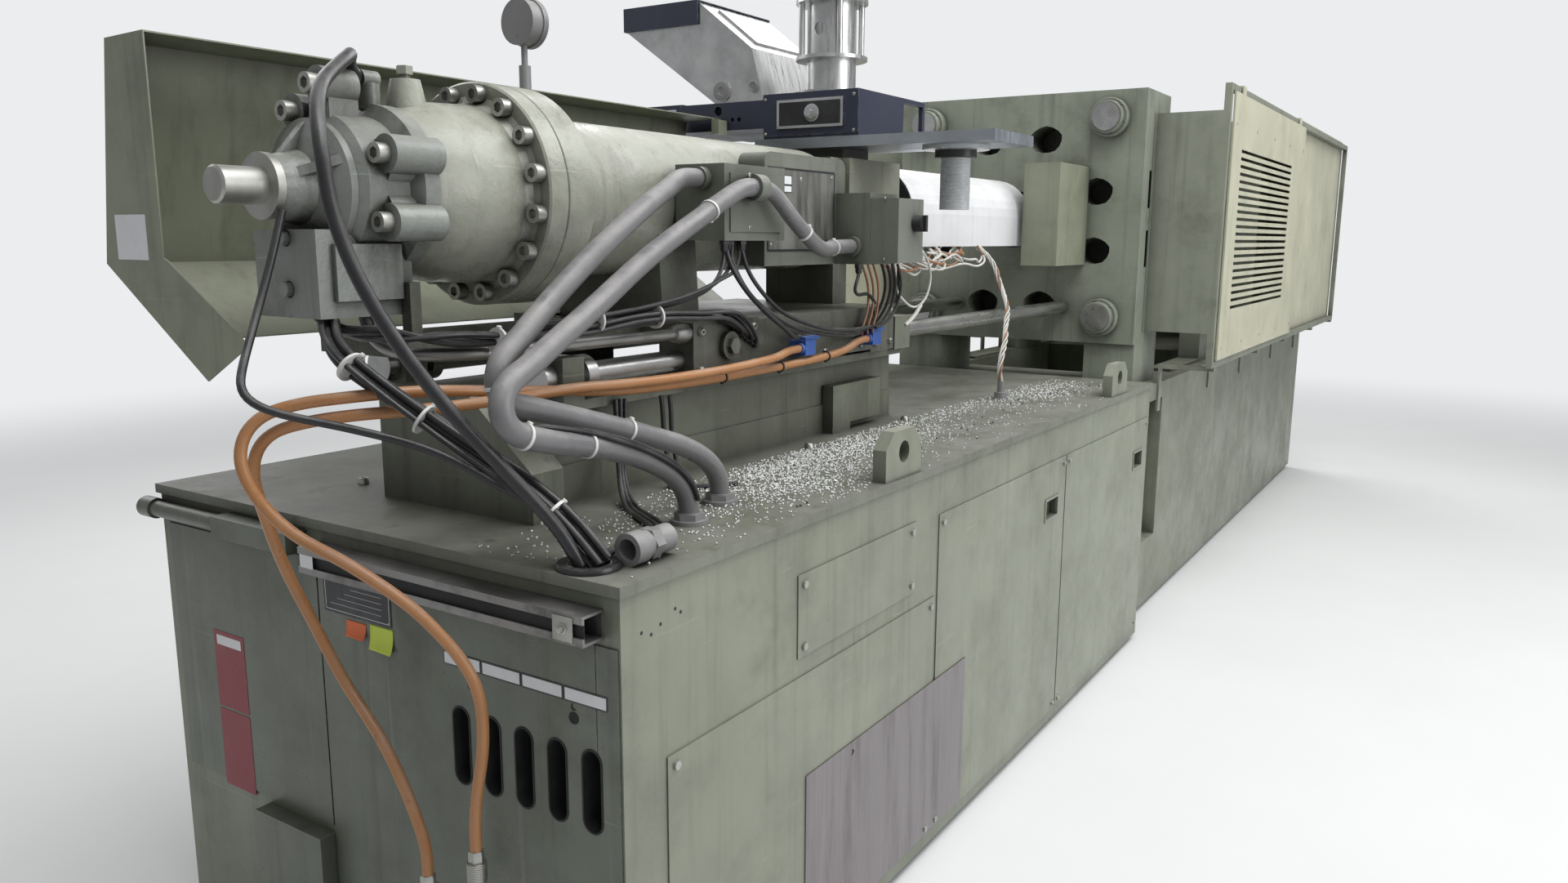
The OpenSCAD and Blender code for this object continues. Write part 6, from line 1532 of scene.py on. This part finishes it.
@dataclass
class Feed:
    """Slide plate, hopper, its base and the drain tube."""

    drain_at: Point = (1.800, -0.425, 1.866)
    drawer_z: float = 1.9675

    def hopper(self) -> None:
        """Round plugs on the hopper's rear end, and screws on its base."""
        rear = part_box("hopper")[0].x + 0.005
        plugs = Surface()
        for y, z, r in ((0.318, 2.051, 0.033), (0.197, 2.058, 0.019)):
            plugs.turned([(0.0045, r - 0.004), (0.0065, r - 0.004), (0.0070, r - 0.006), (0.0070, 0.012),
                          (0.0055, 0.010)], (rear, y, z), REARWARD)
        plugs.piece("hopper_plugs", Finish.FITTING, Body.HOPPER, Slot.STEEL)
        seats = product((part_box("hopper_base")[0].x,), (-0.160, 0.150), (1.912, 2.014))
        heads = Surface().screws(seats, REARWARD, Head.HOPPER)
        heads.piece("hopper_base_screws", Finish.ZINC, Body.HOPPER, Slot.STEEL)

    def drain(self) -> None:
        """The drain tube's black cup under its flange, and the ribs of its clear hose."""
        centre = placed(self.drain_at)
        line = [(0.0125, 0.0560), (0.0125, 0.0600), (0.0135, 0.0608), (0.0335, 0.0608), (0.0345, 0.0600),
                (0.0345, 0.0440)]
        cup = Surface().turned(line, centre, DOWN, 40)
        cup.piece("drain_cup", Finish.BLACK, Body.UNIT, Slot.BLACK)
        at = np.linspace(0.0360, 0.1815, 140)
        wave = np.column_stack([at, 0.0434 + 0.0008 * np.cos(TURN * (at - at[0]) / 0.0060)])
        ribbed = Surface().turned([(0.0355, 0.0431), *wave.tolist(), (0.1819, 0.0431)], centre, DOWN, 40)
        ribbed.piece("drain_ribs", Finish.CLEAR, Body.UNIT, Slot.CLEAR)

    def faces(self) -> None:
        """The drawer's dark window and round boss, and the tray's pale inner panel."""
        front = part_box("hopper_base")[0].x - 0.006
        at = (front - 0.0002, -0.0105, self.drawer_z)
        pane = Surface().plate(rounded(0.214, 0.068, 0.003), at, NEAR, 0.0008)
        pane.piece("drawer_window", Finish.DARK, Body.DRAWER, Slot.BLACK)
        line = [(0.0008, 0.026), (0.003, 0.026), (0.004, 0.023), (0.004, 0.012)]
        boss = Surface().turned(line, (front, -0.020, self.drawer_z), REARWARD)
        boss.piece("drawer_boss", Finish.POLISHED, Body.DRAWER, Slot.STEEL)
        panel = Surface().plate(rounded(0.270, 0.056, 0.002), (front + 0.0158, 0.640, 1.978), NEAR, 0.0008)
        panel.piece("tray_panel", Finish.LILAC, Body.HOPPER, Slot.WHITE)

    def build(self) -> None:
        """Dresses the feed's solids and adds its fine pieces."""
        dress({Finish.SLIDE: "slide_plate", Finish.CLEAR: "drain_spout", Finish.NAVY: "hopper_base hopper_lid",
               Finish.STAINLESS: "hopper loader_neck", Finish.POLISHED: "magnet_drawer"})
        self.hopper()
        self.drain()
        self.faces()


@dataclass
class Clamp:
    """Platens, tie bars, gates and covers."""

    bar_y: tuple[float, float] = (-0.4, 0.4)
    bar_z: tuple[float, float] = (1.283, 2.083)
    screw_ring: float = 0.0695
    cap_screws: int = 6

    def nuts(self) -> None:
        """Painted caps over the tie bars' round nuts, stepped as the nuts are, with six screws each."""
        caps = Surface()
        line = [(0.0003, 0.0756), (0.0030, 0.0766), (0.0440, 0.0766), (0.0478, 0.0740), (0.0478, 0.0652),
                (0.0500, 0.0640), (0.0700, 0.0640), (0.0735, 0.0610), (0.0735, 0.0565)]
        angles = [TURN * k / self.cap_screws + 0.3 for k in range(self.cap_screws)]
        for y, z in product(self.bar_y, self.bar_z):
            caps.turned(line, placed((3.350, y, z)), REARWARD, 48)
            seats = [(3.3025, y + self.screw_ring * math.cos(a), z + self.screw_ring * math.sin(a)) for a in angles]
            caps.screws(placed(seats), REARWARD, Head.NUT_CAP)
        caps.piece("nut_caps", Finish.PLATEN, Body.MACHINE, Slot.SAGE)

    def gates(self) -> None:
        """Screws along the near gate's edges."""
        low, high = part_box("near_gate")
        seats = product(np.linspace(low.x + 0.05, high.x - 0.05, 5), (low.y,), (1.16, 2.06))
        heads = Surface().screws(seats, NEAR, Head.GATE)
        heads.piece("gate_screws", Finish.ZINC, Body.NEAR_GATE, Slot.STEEL)

    def build(self) -> None:
        """Dresses the clamp's solids and adds its fine pieces."""
        dress({Finish.PLATEN: "fixed_platen moving_platen clamp_cylinder", Finish.ROD: "tie_bars clamp_ram",
               Finish.INSIDE: "end_guards", Finish.CREAM: "clamp_covers near_gate operator_gate control_panel",
               Finish.RED: "stop_button"})
        self.nuts()
        self.gates()


def main() -> None:
    """Builds the studio and the machine."""
    logging.basicConfig(level=logging.INFO, format="%(message)s")
    for part in (Studio, AirHoses, Wiring, Bed, InjectionUnit, Feed, Clamp):
        part().build()


if __name__ == "__main__":
    main()
